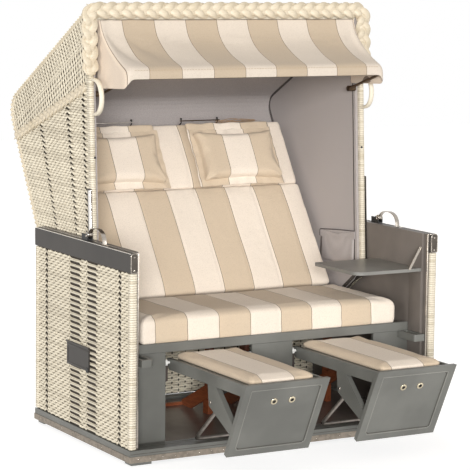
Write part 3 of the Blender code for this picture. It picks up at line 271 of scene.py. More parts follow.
def metal_material(name, colour, roughness, grain=0.15):
    """Metal with a faintly uneven sheen."""
    material, tree, shader, place = new_material(name, roughness, 1.0)
    patch = noise(tree, place, 60.0, 3.0)
    darker = tuple(channel * (1 - grain * 2) for channel in colour)
    tree.feed(shader.inputs["Base Color"], tree.mix(smoothly(tree, patch, 0.35, 0.75), colour, darker))
    bump(tree, shader, patch, 0.0002, 0.3)
    return material


def plain_material(name, colour, roughness, scale=80.0):
    """Moulded or bare surfaces with a fine, uneven skin."""
    material, tree, shader, place = new_material(name, roughness)
    patch = noise(tree, place, scale, 3.0)
    darker = tuple(channel * 0.8 for channel in colour)
    tree.feed(shader.inputs["Base Color"], tree.mix(smoothly(tree, patch, 0.35, 0.75), colour, darker))
    bump(tree, shader, patch, 0.0003, 0.3)
    return material


def guide_material():
    """Stained wood with its grain along the slope, darkened toward the front ends as painted shade."""
    material, tree, shader, place = new_material("guide_wood", 0.5)
    grain = noise(tree, stretched(tree, place, (30.0, 3.0, 30.0)), 9.0, 3.0)
    back = tree.add("ShaderNodeSeparateXYZ", {"Vector": place}).outputs[1]
    base = tree.mix(smoothly(tree, grain, 0.35, 0.7), GUIDE_WOOD, GUIDE_GRAIN)
    # Painted shade: the wood darkens toward the front, so that its orange stays only where the light falls
    base = tree.mix(smoothly(tree, back, GUIDE_SHADE_SPAN[0], GUIDE_SHADE_SPAN[1]), GUIDE_SHADE_DARK, base)
    tree.feed(shader.inputs["Base Color"], base)
    bump(tree, shader, grain, 0.0004, 0.4)
    return material


STRAND = strand_material("woven_strand", STRAND_LIGHT, STRAND_DARK, STRAND_GREY)
PLAIT = strand_material("plaited_strand", PLAIT_LIGHT, PLAIT_DARK, PLAIT_DARK, 0.5)
BOUND = strand_material("bound_strand", BOUND_LIGHT, BOUND_DARK, BOUND_DARK)
# Painted shade as a dark stand-in material: the cores behind the weave, and dark lines in grooves and gaps
SHADE_CORE = plain_material("shadow_core", SHADE_CORE_DARK, 0.9)
LINING = lining_material()
PAINT = painted_material("grey_painted_board", PAINT_GREY)
RAIL_PAINT = painted_material("dark_painted_rail", srgb(52, 48, 44), 0.5)
BOARD_PAINT = painted_material("painted_inner_board", srgb(106, 99, 93), 0.5)
# A paler paint for the footrest panels' edge bead: a painted highlight where the bevel catches the light
HIGHLIGHT_PAINT = painted_material("painted_highlight_edge", srgb(128, 127, 121), 0.35)
TRAY_PAINT = painted_material("painted_tray", srgb(122, 121, 116), 0.35)
FLOOR_PAINT = painted_material("dark_floor_board", FLOOR_BOARD, 0.25)
STEEL = metal_material("polished_steel", srgb(176, 168, 158), 0.25)
DARK_STEEL = metal_material("dark_steel", srgb(92, 86, 80), 0.3)
LINING_DARK = plain_material("lining_seam", srgb(84, 78, 76), 0.9, 200.0)
BRIGHT = metal_material("chromed_edge", srgb(244, 240, 234), 0.25, 0.02)
TRIM_METAL = metal_material("bright_trim", srgb(196, 190, 182), 0.3)
STRIP = metal_material("dull_strip", STRIP_METAL, 0.5)
BROWN_METAL = metal_material("browned_rod", BOW_BROWN, 0.35)
BLACK = plain_material("black_plastic", srgb(26, 25, 24), 0.5)
NYLON = plain_material("white_nylon", srgb(236, 236, 232), 0.4)
GUIDE = guide_material()
STRIPE_PITCH = 0.1304
SEAT_CLOTH = striped_material("seat_stripes", -0.483, STRIPE_PITCH)
BACK_CLOTH = striped_material("back_stripes", -0.4735, STRIPE_PITCH)
# The awning's stripes are darkened to 0.78 as painted shade
AWNING_CLOTH = striped_material("awning_stripes", -0.453, 0.1308, corner=0.5395, painted_shade_factor=0.78)
PILLOW_CLOTH = {"left": striped_material("left_pillow_stripes", -0.308, 0.123, False),
                "right": striped_material("right_pillow_stripes", 0.197, 0.124, False)}
PAD_CLOTH = {"left": striped_material("left_pad_stripes", -0.346, 0.128, False),
             "right": striped_material("right_pad_stripes", 0.178, 0.136, False)}
SEAM_THREAD = plain_material("seam_thread", srgb(186, 164, 136), 0.9, 300.0)
TIE_CORD = plain_material("brown_tie", srgb(178, 150, 122), 0.85, 300.0)
TUBE_STEEL = metal_material("brushed_tube", srgb(160, 152, 144), 0.5)
BRASS_METAL = metal_material("pale_brass", srgb(216, 204, 178), 0.22)


def pair(name):
    """The left and the right node of that name."""
    return f"{name}_left", f"{name}_right"


def dress(material, *names):
    """Gives carried-over nodes their material."""
    for name in names:
        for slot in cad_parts[name].material_slots:
            slot.material = material


# Meshes


def linked(name, data):
    """An object that holds this data, in the scene."""
    item = bpy.data.objects.new(name, data)
    bpy.context.scene.collection.objects.link(item)
    return item


# The weave tree: one strand, laid in rows, over and under its stakes


def add_socket(tree, name, kind, default=None):
    socket = tree.interface.new_socket(name=name, in_out="INPUT", socket_type=kind)
    if default is not None:
        socket.default_value = default
    return socket


def weave_tree():
    """Rows of one strand in the u-v plane: u is X, v is Z and the outside is Y. The strand's attributes
    say how far it stands out and how far it is drawn to its pair at each place."""
    tree = bpy.data.node_groups.new("woven_rows", "GeometryNodeTree")
    tree.interface.new_socket(name="Geometry", in_out="INPUT", socket_type="NodeSocketGeometry")
    tree.interface.new_socket(name="Geometry", in_out="OUTPUT", socket_type="NodeSocketGeometry")
    add_socket(tree, "Rows", "NodeSocketInt", 10)
    for name, default in (("Row Pitch", 0.01), ("Strand Width", 0.009), ("Strand Thickness", 0.0016),
                          ("Wave", 0.002), ("Draw", 0.0025), ("Narrowing", 0.25), ("Unevenness", 0.0006)):
        add_socket(tree, name, "NodeSocketFloat", default)
    add_socket(tree, "Seed", "NodeSocketInt", 1)
    add_socket(tree, "Material", "NodeSocketMaterial")
    t = Tree(tree)
    given = t.add("NodeGroupInput").outputs
    strand = t.add("GeometryNodeMeshToCurve", {"Mesh": given["Geometry"]})
    step = t.add("ShaderNodeCombineXYZ", {"Z": given["Row Pitch"]})
    rows = t.add("GeometryNodeMeshLine", {"Count": given["Rows"], "Offset": step}, mode="OFFSET")
    laid = t.add("GeometryNodeInstanceOnPoints", {"Points": rows, "Instance": strand})
    index = t.add("GeometryNodeInputIndex")
    numbered = t.add("GeometryNodeStoreNamedAttribute", {"Geometry": laid, "Name": "row", "Value": index},
                     data_type="FLOAT", domain="INSTANCE")
    chance = t.add("FunctionNodeRandomValue", {"ID": index, "Seed": given["Seed"]}, data_type="FLOAT")
    toned = t.add("GeometryNodeStoreNamedAttribute", {"Geometry": numbered, "Name": "tone",
                                                      "Value": chance.outputs[1]},
                  data_type="FLOAT", domain="INSTANCE")
    loose = t.add("GeometryNodeRealizeInstances", {"Geometry": toned})
    named = {name: t.add("GeometryNodeInputNamedAttribute", {"Name": name}, data_type="FLOAT").outputs[0]
             for name in ("row", "over", "draw")}
    turn = t.math("SUBTRACT", 1.0, t.math("MULTIPLY", 2.0, t.math("FLOORED_MODULO", named["row"], 2.0)))
    place = t.add("GeometryNodeInputPosition")
    wander = t.add("ShaderNodeTexNoise", {"Vector": place, "Scale": 60.0, "Detail": 1.0})
    drift = t.math("MULTIPLY", t.math("SUBTRACT", wander.outputs[0], 0.5), given["Unevenness"])
    out = t.math("ADD", t.math("MULTIPLY", t.math("MULTIPLY", named["over"], turn), given["Wave"]), drift)
    lift = t.math("ADD", t.math("MULTIPLY", t.math("MULTIPLY", named["draw"], turn), given["Draw"]), drift)
    offset = t.add("ShaderNodeCombineXYZ", {"Y": out, "Z": lift})
    moved = t.add("GeometryNodeSetPosition", {"Geometry": loose, "Offset": offset})
    upright = t.add("GeometryNodeSetCurveNormal", {"Curve": moved}, mode="Z_UP")
    ring = t.add("GeometryNodeCurvePrimitiveCircle", {"Resolution": 6, "Radius": 0.5})
    spot = t.add("ShaderNodeSeparateXYZ", {"Vector": t.add("GeometryNodeInputPosition")}).outputs[1]
    edged = t.add("GeometryNodeStoreNamedAttribute", {"Geometry": ring, "Name": "across", "Value": spot},
                  data_type="FLOAT", domain="POINT")
    narrow = t.math("SUBTRACT", 1.0, t.math("MULTIPLY", t.math("ABSOLUTE", named["draw"]), given["Narrowing"]))
    size = t.add("ShaderNodeCombineXYZ", {"X": given["Strand Thickness"], "Y": given["Strand Width"], "Z": 1.0})
    section = t.add("GeometryNodeTransform", {"Geometry": edged, "Scale": size})
    solid = t.add("GeometryNodeCurveToMesh", {"Curve": upright, "Profile Curve": section, "Scale": narrow,
                                              "Fill Caps": True})
    smooth = t.add("GeometryNodeSetShadeSmooth", {"Geometry": solid})
    finished = t.add("GeometryNodeSetMaterial", {"Geometry": smooth, "Material": given["Material"]})
    last = t.add("NodeGroupOutput")
    tree.links.new(finished.outputs[0], last.inputs[0])
    return tree


def realised(name, source_mesh, tree, values):
    """Runs a geometry tree on a mesh and returns the plain mesh that it makes."""
    source = linked(name + "_source", source_mesh)
    modifier = source.modifiers.new("pattern", "NODES")
    modifier.node_group = tree
    for item in tree.interface.items_tree:
        if item.item_type == "SOCKET" and item.in_out == "INPUT" and item.name in values:
            modifier[item.identifier] = values[item.name]
    bpy.context.view_layer.update()
    mesh = bpy.data.meshes.new_from_object(source.evaluated_get(bpy.context.evaluated_depsgraph_get()))
    bpy.data.objects.remove(source, do_unlink=True)
    mesh.name = name
    return mesh


DENSE_REACH_SHARE = 0.19  # of a stake's pitch, how far a dense opening runs to each side
DOT_OPENING = 1.15
LEAST_STEP = 0.0008


def strand_line(segments, step=0.02):
    """One strand as a mesh line. Segments run along it: dense ones go over and under their stakes with
    small holes between, slots and holes open by drawing each pair of rows together, plain ones lie flat."""
    knots = []
    sign = 1.0
    for kind, start, end, pitch in segments:
        if kind == "dense":
            count = max(1, round((end - start) / pitch))
            reach = DENSE_REACH_SHARE * (end - start) / count
            for index in range(count):
                middle = start + (end - start) * index / count
                knots += [(middle - reach, 0.0, 0.0), (middle, 0.0, DOT_OPENING * sign), (middle + reach, 0.0, 0.0)]
                knots.append((start + (end - start) * (index + 0.5) / count, sign, 0.0))
                sign = -sign
            knots.append((end, 0.0, 0.0))
        elif kind == "slot":
            knots += [(start, 1.0, 0.0), (start + pitch, 1.0, 1.0), (end - pitch, 1.0, 1.0), (end, 1.0, 0.0)]
            sign = -1.0
        elif kind == "hole":
            knots += [(start, 1.0, 0.0), ((start + end) / 2, 1.0, pitch), (end, 1.0, 0.0)]
            sign = -1.0
        else:
            count = max(1, round((end - start) / pitch))
            knots += [(start + (end - start) * index / count, 0.0, 0.0) for index in range(count + 1)]
    knots.sort(key=lambda knot: knot[0])
    places, waves, draws = np.array(knots).T
    extra = np.arange(places[0], places[-1], step)
    every = np.unique(np.round(np.concatenate([places, extra]), 5))
    keep = np.concatenate([[True], np.diff(every) > LEAST_STEP])
    every = every[keep]
    waves, draws = np.interp(every, places, waves), np.interp(every, places, draws)
    mesh = bpy.data.meshes.new("strand")
    mesh.from_pydata([(place, 0, 0) for place in every], [(i, i + 1) for i in range(len(every) - 1)], [])
    for name, values in (("over", waves), ("draw", draws)):
        attribute = mesh.attributes.new(name, "FLOAT", "POINT")
        attribute.data.foreach_set("value", values.astype(np.float32))
    return mesh


WEAVE = weave_tree()


def turn_outward(mesh):
    """Turns a closed mesh's faces outward."""
    mesh.calc_loop_triangles()
    points = np.empty(len(mesh.vertices) * 3)
    mesh.vertices.foreach_get("co", points)
    faces = np.empty(len(mesh.loop_triangles) * 3, int)
    mesh.loop_triangles.foreach_get("vertices", faces)
    a, b, c = points.reshape(-1, 3)[faces.reshape(-1, 3)].transpose(1, 0, 2)
    if (a * np.cross(b, c)).sum() < 0:
        mesh.flip_normals()


def woven(name, segments, height, place_at, material=None, step=0.02, seed=1, **sizes):
    """A woven panel laid flat by the tree and then put in its place by place_at(u, out, v)."""
    values = {"Row Pitch": 0.010, "Strand Width": 0.0112, "Strand Thickness": 0.0030, "Wave": 0.0024,
              "Draw": 0.0041, "Narrowing": 0.27, "Unevenness": 0.0010}
    values.update({key.replace("_", " ").title(): value for key, value in sizes.items()})
    values["Rows"] = max(1, int(height / values["Row Pitch"]))
    values["Seed"] = seed
    values["Material"] = material or STRAND
    mesh = realised(name, strand_line(segments, step), WEAVE, values)
    points = np.empty(len(mesh.vertices) * 3, np.float32)
    mesh.vertices.foreach_get("co", points)
    u, out, v = points.reshape(-1, 3).astype(float).T
    spare = height - (values["Rows"] - 1) * values["Row Pitch"]
    placed = place_at(u, out, v + spare / 2)
    mesh.vertices.foreach_set("co", np.stack(placed, axis=1).astype(np.float32).ravel())
    mesh.update()
    turn_outward(mesh)
    return linked(name, mesh)


class Path:
    """A flat path with its length and outward side, for laying strands along it."""

    def __init__(self, points):
        self.points = np.array(points, float)
        steps = np.diff(self.points, axis=0)
        self.reach = np.concatenate([[0], np.cumsum(np.hypot(*steps.T))])
        self.length = self.reach[-1]
        ways = steps / np.hypot(*steps.T)[:, None]
        corner = np.concatenate([ways[:1], (ways[:-1] + ways[1:]) / 2, ways[-1:]])
        corner /= np.hypot(*corner.T)[:, None]
        self.out = np.stack([corner[:, 1], -corner[:, 0]], axis=1)

    def at(self, along, out):
        """Points at that length along the path and that far to its right-hand side."""
        base = [np.interp(along, self.reach, self.points[:, i]) for i in (0, 1)]
        side = [np.interp(along, self.reach, self.out[:, i]) for i in (0, 1)]
        size = np.hypot(*side)
        return base[0] + side[0] / size * out, base[1] + side[1] / size * out


def rounded_path(corners, radius, steps=6):
    """A path through the corners, each rounded off."""
    points = [corners[0]]
    for before, here, after in zip(corners, corners[1:], corners[2:]):
        before, here, after = (np.array(point, float) for point in (before, here, after))
        start = here + (before - here) / np.linalg.norm(before - here) * radius
        end = here + (after - here) / np.linalg.norm(after - here) * radius
        for step in range(steps + 1):
            share = step / steps
            first = start + (here - start) * share
            second = here + (end - here) * share
            points.append(first + (second - first) * share)
    points.append(corners[-1])
    return np.array(points, float)


def sweep(points, ups, profile, caps=True):
    """Vertices and faces of a profile carried along points. ups gives each ring's own second axis, and
    the profile's values are (across, along up) or, per ring, an array of them."""
    points, ups = np.array(points, float), np.array(ups, float)
    ways = np.gradient(points, axis=0)
    ways /= np.linalg.norm(ways, axis=1)[:, None]
    ups = ups - (ups * ways).sum(1)[:, None] * ways
    ups /= np.linalg.norm(ups, axis=1)[:, None]
    sides = np.cross(ways, ups)
    profile = np.array(profile, float)
    if profile.ndim == 2:
        profile = np.repeat(profile[None], len(points), axis=0)
    rings = points[:, None] + sides[:, None] * profile[:, :, :1] + ups[:, None] * profile[:, :, 1:]
    count, size = rings.shape[:2]
    faces = []
    for ring in range(count - 1):
        for index in range(size):
            after = (index + 1) % size
            base = ring * size
            faces.append((base + index, base + after, base + size + after, base + size + index))
    if caps:
        faces.append(tuple(range(size))[::-1])
        faces.append(tuple((count - 1) * size + index for index in range(size)))
    return rings.reshape(-1, 3), faces


def prism_faces(count):
    """Faces of a prism: its first end's points, then its other end's."""
    faces = [tuple(range(count)), tuple(range(count, 2 * count))[::-1]]
    return faces + [(i, (i + 1) % count, count + (i + 1) % count, count + i) for i in range(count)]


def grid_faces(rows, wide):
    return [(r * wide + c, r * wide + c + 1, (r + 1) * wide + c + 1, (r + 1) * wide + c)
            for r in range(rows - 1) for c in range(wide - 1)]


# Faces of a brick whose corners are listed by height, then depth, then width
BRICK_FACES = [(0, 1, 3, 2), (4, 6, 7, 5), (0, 4, 5, 1), (2, 3, 7, 6), (0, 2, 6, 4), (1, 5, 7, 3)]


def join_parts(parts):
    """Several (points, faces) lists as one."""
    points, faces, start = [], [], 0
    for part_points, part_faces in parts:
        points.append(np.array(part_points, float))
        faces += [tuple(index + start for index in face) for face in part_faces]
        start += len(part_points)
    return np.concatenate(points), faces


def mesh_piece(name, parts, material, smooth_angle=40):
    """A piece from (points, faces) parts, with its faces turned outward."""
    points, faces = join_parts(parts)
    shape = bmesh.new()
    verts = [shape.verts.new(tuple(point)) for point in points]
    for face in faces:
        shape.faces.new([verts[index] for index in face])
    bmesh.ops.recalc_face_normals(shape, faces=shape.faces)
    mesh = bpy.data.meshes.new(name)
    shape.to_mesh(mesh)
    shape.free()
    mesh.materials.append(material)
    mesh.shade_smooth()
    mesh.set_sharp_from_angle(angle=math.radians(smooth_angle))
    return linked(name, mesh)


def ellipse(half_across, half_up, sides=12, power=2.0):
    """A closed ring. A power over 2 squares it off."""
    angles = np.arange(sides) * math.tau / sides
    c, s = np.cos(angles), np.sin(angles)
    return np.stack([half_across * np.sign(c) * np.abs(c) ** (2 / power),
                     half_up * np.sign(s) * np.abs(s) ** (2 / power)], axis=1)


def even(points, step):
    """A path resampled at one step."""
    points = np.array(points, float)
    reach = np.concatenate([[0], np.cumsum(np.linalg.norm(np.diff(points, axis=0), axis=1))])
    count = max(2, int(round(reach[-1] / step)) + 1)
    places = np.linspace(0, reach[-1], count)
    return np.stack([np.interp(places, reach, points[:, axis]) for axis in range(points.shape[1])], axis=1), places


def wrapped_tube(points, ups, half_across, half_up, pitch=0.0045, depth=0.0007, sides=12):
    """A rod bound closely with cane: its skin rises at each turn of the binding."""
    path, reach = even(points, pitch / 3)
    ups = np.array(ups, float)
    up_rows = np.repeat(ups[None], len(path), axis=0) if ups.ndim == 1 else np.stack(
        [np.interp(np.linspace(0, 1, len(path)), np.linspace(0, 1, len(ups)), ups[:, i]) for i in range(3)], 1)
    ring = ellipse(half_across, half_up, sides, 2.6)
    angles = np.arange(sides) / sides
    turns = np.abs(np.sin(math.pi * (reach[:, None] / pitch + angles[None])))
    scale = 1 + (turns ** 0.6 - 1) * depth / min(half_across, half_up) * 2
    return sweep(path, up_rows, ring[None] * scale[:, :, None])


def box_part(low, high, round_edge=0.0):
    """A box with eased edges as (points, faces)."""
    shape = bmesh.new()
    size = [high[i] - low[i] for i in range(3)]
    middle = [(high[i] + low[i]) / 2 for i in range(3)]
    matrix = Matrix.Translation(middle) @ Matrix.Diagonal((*size, 1))
    bmesh.ops.create_cube(shape, size=1.0, matrix=matrix)
    if round_edge:
        bmesh.ops.bevel(shape, geom=shape.edges[:], offset=round_edge, segments=2, affect="EDGES", profile=0.6)
    shape.verts.index_update()
    part = [tuple(v.co) for v in shape.verts], [tuple(v.index for v in f.verts) for f in shape.faces]
    shape.free()
    return part


def lathe_part(profile, centre, axis, sides=20):
    """A turned shape: profile gives (radius, height) from its foot, along the axis from the centre."""
    axis = Vector(axis).normalized()
    turn = axis.to_track_quat("Z", "Y").to_matrix()
    points, faces = [], []
    rings = []
    for radius, height in profile:
        if radius <= 0:
            rings.append([len(points)])
            points.append(tuple(Vector(centre) + turn @ Vector((0, 0, height))))
            continue
        ring = []
        for index in range(sides):
            angle = math.tau * index / sides
            local = Vector((radius * math.cos(angle), radius * math.sin(angle), height))
            ring.append(len(points))
            points.append(tuple(Vector(centre) + turn @ local))
        rings.append(ring)
    for lower, upper in zip(rings, rings[1:]):
        for index in range(sides):
            after = (index + 1) % sides
            if len(lower) == 1 and len(upper) == 1:
                continue
            if len(lower) == 1:
                faces.append((lower[0], upper[after], upper[index]))
            elif len(upper) == 1:
                faces.append((lower[index], lower[after], upper[0]))
            else:
                faces.append((lower[index], lower[after], upper[after], upper[index]))
    for ring, turned in ((rings[0], True), (rings[-1], False)):
        if len(ring) > 1:
            faces.append(tuple(ring[::-1] if turned else ring))
    return points, faces


def Y(place):
    """A place along Y, counted from the front edges of the arms."""
    return FRONT + place


# The arms: woven skins between bound posts, over a dark core of painted shade that shows through the openings
POST_BOUND = 0.026
SKIN_DEPTH = 0.0042
ARM_DEPTH = REAR - FRONT
ARM_FOOT, ARM_TOP = ARM_LOW[2], ARM_HIGH[2]
ARM_SEGMENTS = [("dense", 0.026, 0.078, 0.0175), ("hole", 0.074, 0.108, 1.6), ("dense", 0.110, 0.268, 0.0205),
                ("slot", 0.272, 0.362, 0.008), ("dense", 0.364, 0.406, 0.021), ("slot", 0.408, 0.506, 0.008),
                ("dense", 0.508, 0.694, 0.0205), ("hole", 0.692, 0.724, 1.6), ("dense", 0.726, 0.784, 0.0175)]


def section_path(low, high, radius):
    """The outline of a post's section, from the middle of one side round to it again."""
    (x0, y0), (x1, y1) = low, high
    corners = [((x0 + x1) / 2, y0), (x1, y0), (x1, y1), (x0, y1), (x0, y0), ((x0 + x1) / 2, y0)]
    return Path(rounded_path(corners, radius, 4))


def bound_post(name, low, high, foot, top, lean=0.0, pitch=0.0085, seed=1, material=None):
    """A post wrapped in flat strands, from its section's corners and its foot and top."""
    inset = 0.0016
    path = section_path((low[0] + inset, low[1] + inset), (high[0] - inset, high[1] - inset), 0.006)

    def place_at(u, out, v):
        x, y = path.at(np.clip(u, 0, path.length), out)
        return x, y + v * lean, foot + v

    return woven(name, [("plain", 0.0, path.length, 0.006)], top - foot, place_at, material, step=0.006,
                 row_pitch=pitch, strand_width=pitch * 1.12, strand_thickness=0.0030, wave=0.0, draw=0.0,
                 unevenness=0.0007, seed=seed)


def build_arm(word, side):
    """An arm's woven skin, its dark core of painted shade behind the openings, and its two bound posts."""
    plane = ARM_OUT - SKIN_DEPTH

    def place_at(u, out, v):
        return side * (plane + out), Y(u), np.clip(ARM_FOOT + v, ARM_FOOT + 0.0004, ARM_TOP - 0.0004)

    skin = woven(f"arm_weave_{word}", ARM_SEGMENTS, ARM_TOP - ARM_FOOT, place_at, step=0.3, seed=3 + side)
    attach(skin, "base")
    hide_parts(f"wicker_{word}")
    core_x = sorted((side * (ARM_OUT - 0.0105), side * (ARM_OUT - 0.0085)))
    core = mesh_piece(f"arm_shade_core_{word}", [box_part((core_x[0], Y(0.020), ARM_FOOT + 0.001),
                                                    (core_x[1], Y(ARM_DEPTH - 0.020), ARM_TOP - 0.001))], SHADE_CORE)
    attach(core, "base")
    inner = ARM_OUT - 0.028
    for place, (near, far) in (("front", (0.0005, POST_BOUND)), ("rear", (ARM_DEPTH - POST_BOUND, ARM_DEPTH))):
        x = sorted((side * inner, side * ARM_OUT))
        post = bound_post(f"arm_post_{place}_{word}", (x[0], Y(near)), (x[1], Y(far)), ARM_FOOT, ARM_TOP,
                          seed=7 if place == "front" else 9, material=BOUND)
        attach(post, "base")


# The rear wall
REAR_LOW, REAR_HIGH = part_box("rear_wicker")


def build_rear():
    """The rear wall outside, with six columns of slots."""
    half = REAR_HIGH[0]
    slots = [-0.442, -0.328, -0.057, 0.057, 0.328, 0.442]
    segments = []
    start = -half
    for centre in slots:
        segments.append(("dense", start, centre - 0.047, 0.0205))
        segments.append(("slot", centre - 0.045, centre + 0.045, 0.008))
        start = centre + 0.047
    segments.append(("dense", start, half, 0.0205))

    def place_at(u, out, v):
        return -u, REAR_HIGH[1] - 0.008 + out, REAR_LOW[2] + v

    skin = woven("rear_weave", segments, REAR_HIGH[2] - REAR_LOW[2], place_at, step=0.3, seed=11)
    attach(skin, "base")
    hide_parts("rear_wicker")


# The hood in the side view
LEAN = math.tan(math.radians(3.2))
ROOF_SLOPE = math.radians(28.1)
BACK_SLOPE = math.radians(30.6)
HOOD_TOP, RIM_TOP = 1.587, 1.600
BACK_POINT = (0.917, 0.741)
HOOD_FOOT = 0.430
POST_DEPTH = 0.030
SKIRT = ((0.402, 0.541), (0.455, 0.518), (0.519, 0.473), (0.590, 0.412), (0.660, 0.385), (0.733, 0.430))
SLANT = ((0.470, 1.300), (1.118, 1.063))
BEND_RADIUS, BEND_EASE, BEND_SHARE = 0.100, math.radians(2.5), 0.98
SIDE_FOOT, SKIRT_TOP, UNDER_FOOT = 0.385, 0.541, 0.430
SLANT_FALL = 0.3657
FOOT_BACK, FOOT_FLARE = 0.660, 1.62
GABLE_START, GABLE_WIDE = 0.452, 0.735


def post_y(z):
    """The front plane of the hood's leaning posts."""
    return 0.413 + (z - 0.760) * LEAN


def hood_path(inset, front_gap=0.0):
    """The roof and back in the side view, inset from the outside, from the front edge to the foot."""
    roof = np.array((math.cos(ROOF_SLOPE), -math.sin(ROOF_SLOPE)))
    back = np.array((-math.sin(BACK_SLOPE), -math.cos(BACK_SLOPE)))
    top = np.array((post_y(HOOD_TOP), HOOD_TOP)) + np.array((-math.sin(ROOF_SLOPE), -math.cos(ROOF_SLOPE))) * inset
    behind = np.array(BACK_POINT) + np.array((-math.cos(BACK_SLOPE), math.sin(BACK_SLOPE))) * inset
    start = top + roof * front_gap
    end = behind + back * ((HOOD_FOOT - behind[1]) / back[1])
    share = np.linalg.solve(np.stack([roof, -back], axis=1), behind - top)
    corner = top + roof * share[0]
    half_turn = (math.pi / 2 + BACK_SLOPE - ROOF_SLOPE - BEND_EASE) / 2
    return rounded_path([start, corner, end], (BEND_RADIUS - inset) * math.tan(half_turn) * BEND_SHARE, 12)


def line_z(y, line):
    """The height of a slanting line at a place along Y."""
    return line[0][1] + (y - line[0][0]) * (line[1][1] - line[0][1]) / (line[1][0] - line[0][0])


def roof_z(y):
    """The height of the roof at a place along Y."""
    return HOOD_TOP - 0.007 - (y - post_y(HOOD_TOP)) * math.tan(ROOF_SLOPE)


def build_hood_side(word, side):
    """A hood side: rows below the slanting plait, strands from the roof down above it, and a dark core of painted
    shade behind them.
    """
    low_first = hood_path(0.003)[::-1]
    order = np.argsort(low_first[:, 1])
    back_z, back_y = low_first[order, 1], low_first[order, 0]
    plane = HOOD_OUT - SKIN_DEPTH
    skirt = np.array(SKIRT)[:5]
    skirt_z, skirt_y = skirt[::-1, 1], skirt[::-1, 0]

    def lower(u, out, v):
        z = SIDE_FOOT + v
        y0 = post_y(z) + POST_DEPTH
        y1 = np.interp(z, back_z, back_y)
        straight = BACK_POINT[0] + (z - BACK_POINT[1]) * math.tan(BACK_SLOPE)
        y = y0 + (straight - y0) * u
        y = np.minimum(y, np.minimum(y1, SLANT[0][0] + (SLANT[0][1] - z) / SLANT_FALL))
        under_back = FOOT_BACK + (z - SIDE_FOOT) * FOOT_FLARE
        y = np.where(z < SKIRT_TOP, np.maximum(y, np.interp(z, skirt_z, skirt_y)), y)
        y = np.where(z < UNDER_FOOT, np.minimum(y, under_back), y)
        return side * (plane + out), Y(y), z

    columns = [("dense", 0.0, 0.016, 0.016), ("hole", 0.018, 0.072, 1.3), ("dense", 0.076, 0.205, 0.022),
               ("hole", 0.208, 0.262, 1.3), ("dense", 0.266, 0.575, 0.026), ("hole", 0.580, 0.634, 1.3),
               ("dense", 0.638, 1.0, 0.026)]
    first = woven(f"hood_side_weave_{word}", columns, SLANT[0][1] - SIDE_FOOT, lower, step=0.03, seed=15 + side,
                  strand_width=0.0118)

    def upper(u, out, v):
        y = GABLE_START + v
        z = np.maximum(roof_z(y) - u, line_z(y, SLANT) + 0.003)
        y = np.minimum(np.maximum(y, post_y(z) + POST_DEPTH), np.interp(z, back_z, back_y))
        return side * (plane + out), Y(y), z

    gable = [("dense", 0.004, 0.103, 0.0198), ("dense", 0.104, 0.300, 0.0390)]
    second = woven(f"hood_gable_weave_{word}", gable, GABLE_WIDE, upper, seed=21 + side,
                   row_pitch=0.0096, strand_width=0.0108, draw=0.0050)
    for skin in (first, second):
        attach(skin, "hood")
    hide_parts(f"hood_side_{word}")

    points = [*hood_path(0.006), *SKIRT[::-1][1:], (post_y(1.2) + 0.012, 1.2)]
    x = sorted((side * (HOOD_OUT - 0.0125), side * (HOOD_OUT - 0.0105)))
    core_points = [(across, Y(y), z) for across in x for y, z in points]
    core = mesh_piece(f"hood_shade_core_{word}", [(core_points, prism_faces(len(points)))], SHADE_CORE)
    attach(core, "hood")


def build_hood_cover():
    """The woven roof and back over their dark core of painted shade, and the bound edges at the sides."""
    outer = hood_path(0.0045, 0.022)
    path = Path(outer)
    half = HOOD_OUT - 0.004
    split = path.reach[np.argmax(outer[:, 0] > outer[:, 0].max() - 0.09)]

    def place(start):
        def place_at(u, out, v):
            y, z = path.at(start + v, -out)
            return u, Y(y), z
        return place_at

    for name, start, end, seed in (("roof_weave", 0.0, split, 31), ("back_weave", split, path.length, 33)):
        segments = [("dense", -half, half, 0.0295)]
        piece = woven(name, segments, end - start, place(start), step=0.3, seed=seed)
        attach(piece, "hood")
        if name == "roof_weave":
            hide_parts("hood_cover")
    core_path = hood_path(0.012, 0.025)
    inner_path = hood_path(0.015, 0.027)
    ring = [*core_path, *inner_path[::-1]]
    count = len(ring)
    points = [(-half + 0.01, Y(y), z) for y, z in ring] + [(half - 0.01, Y(y), z) for y, z in ring]
    n = len(core_path)
    faces = []
    for base in (0, count):
        for i in range(n - 1):
            face = (base + i, base + i + 1, base + count - 2 - i, base + count - 1 - i)
            faces.append(face if base else face[::-1])
    faces += [(i, (i + 1) % count, count + (i + 1) % count, count + i) for i in range(count)]
    core = mesh_piece("hood_cover_shade_core", [(points, faces)], SHADE_CORE)
    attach(core, "hood")
    # Bound edges where the sides meet the roof and back
    for word, side in SIDES:
        edge = [(side * (HOOD_OUT - 0.0075), Y(y), z) for y, z in hood_path(0.0078, 0.020)]
        fitted(f"hood_edge_{word}", [wrapped_tube(edge, (1, 0, 0), 0.0075, 0.0075)], PLAIT, "hood",
               60)


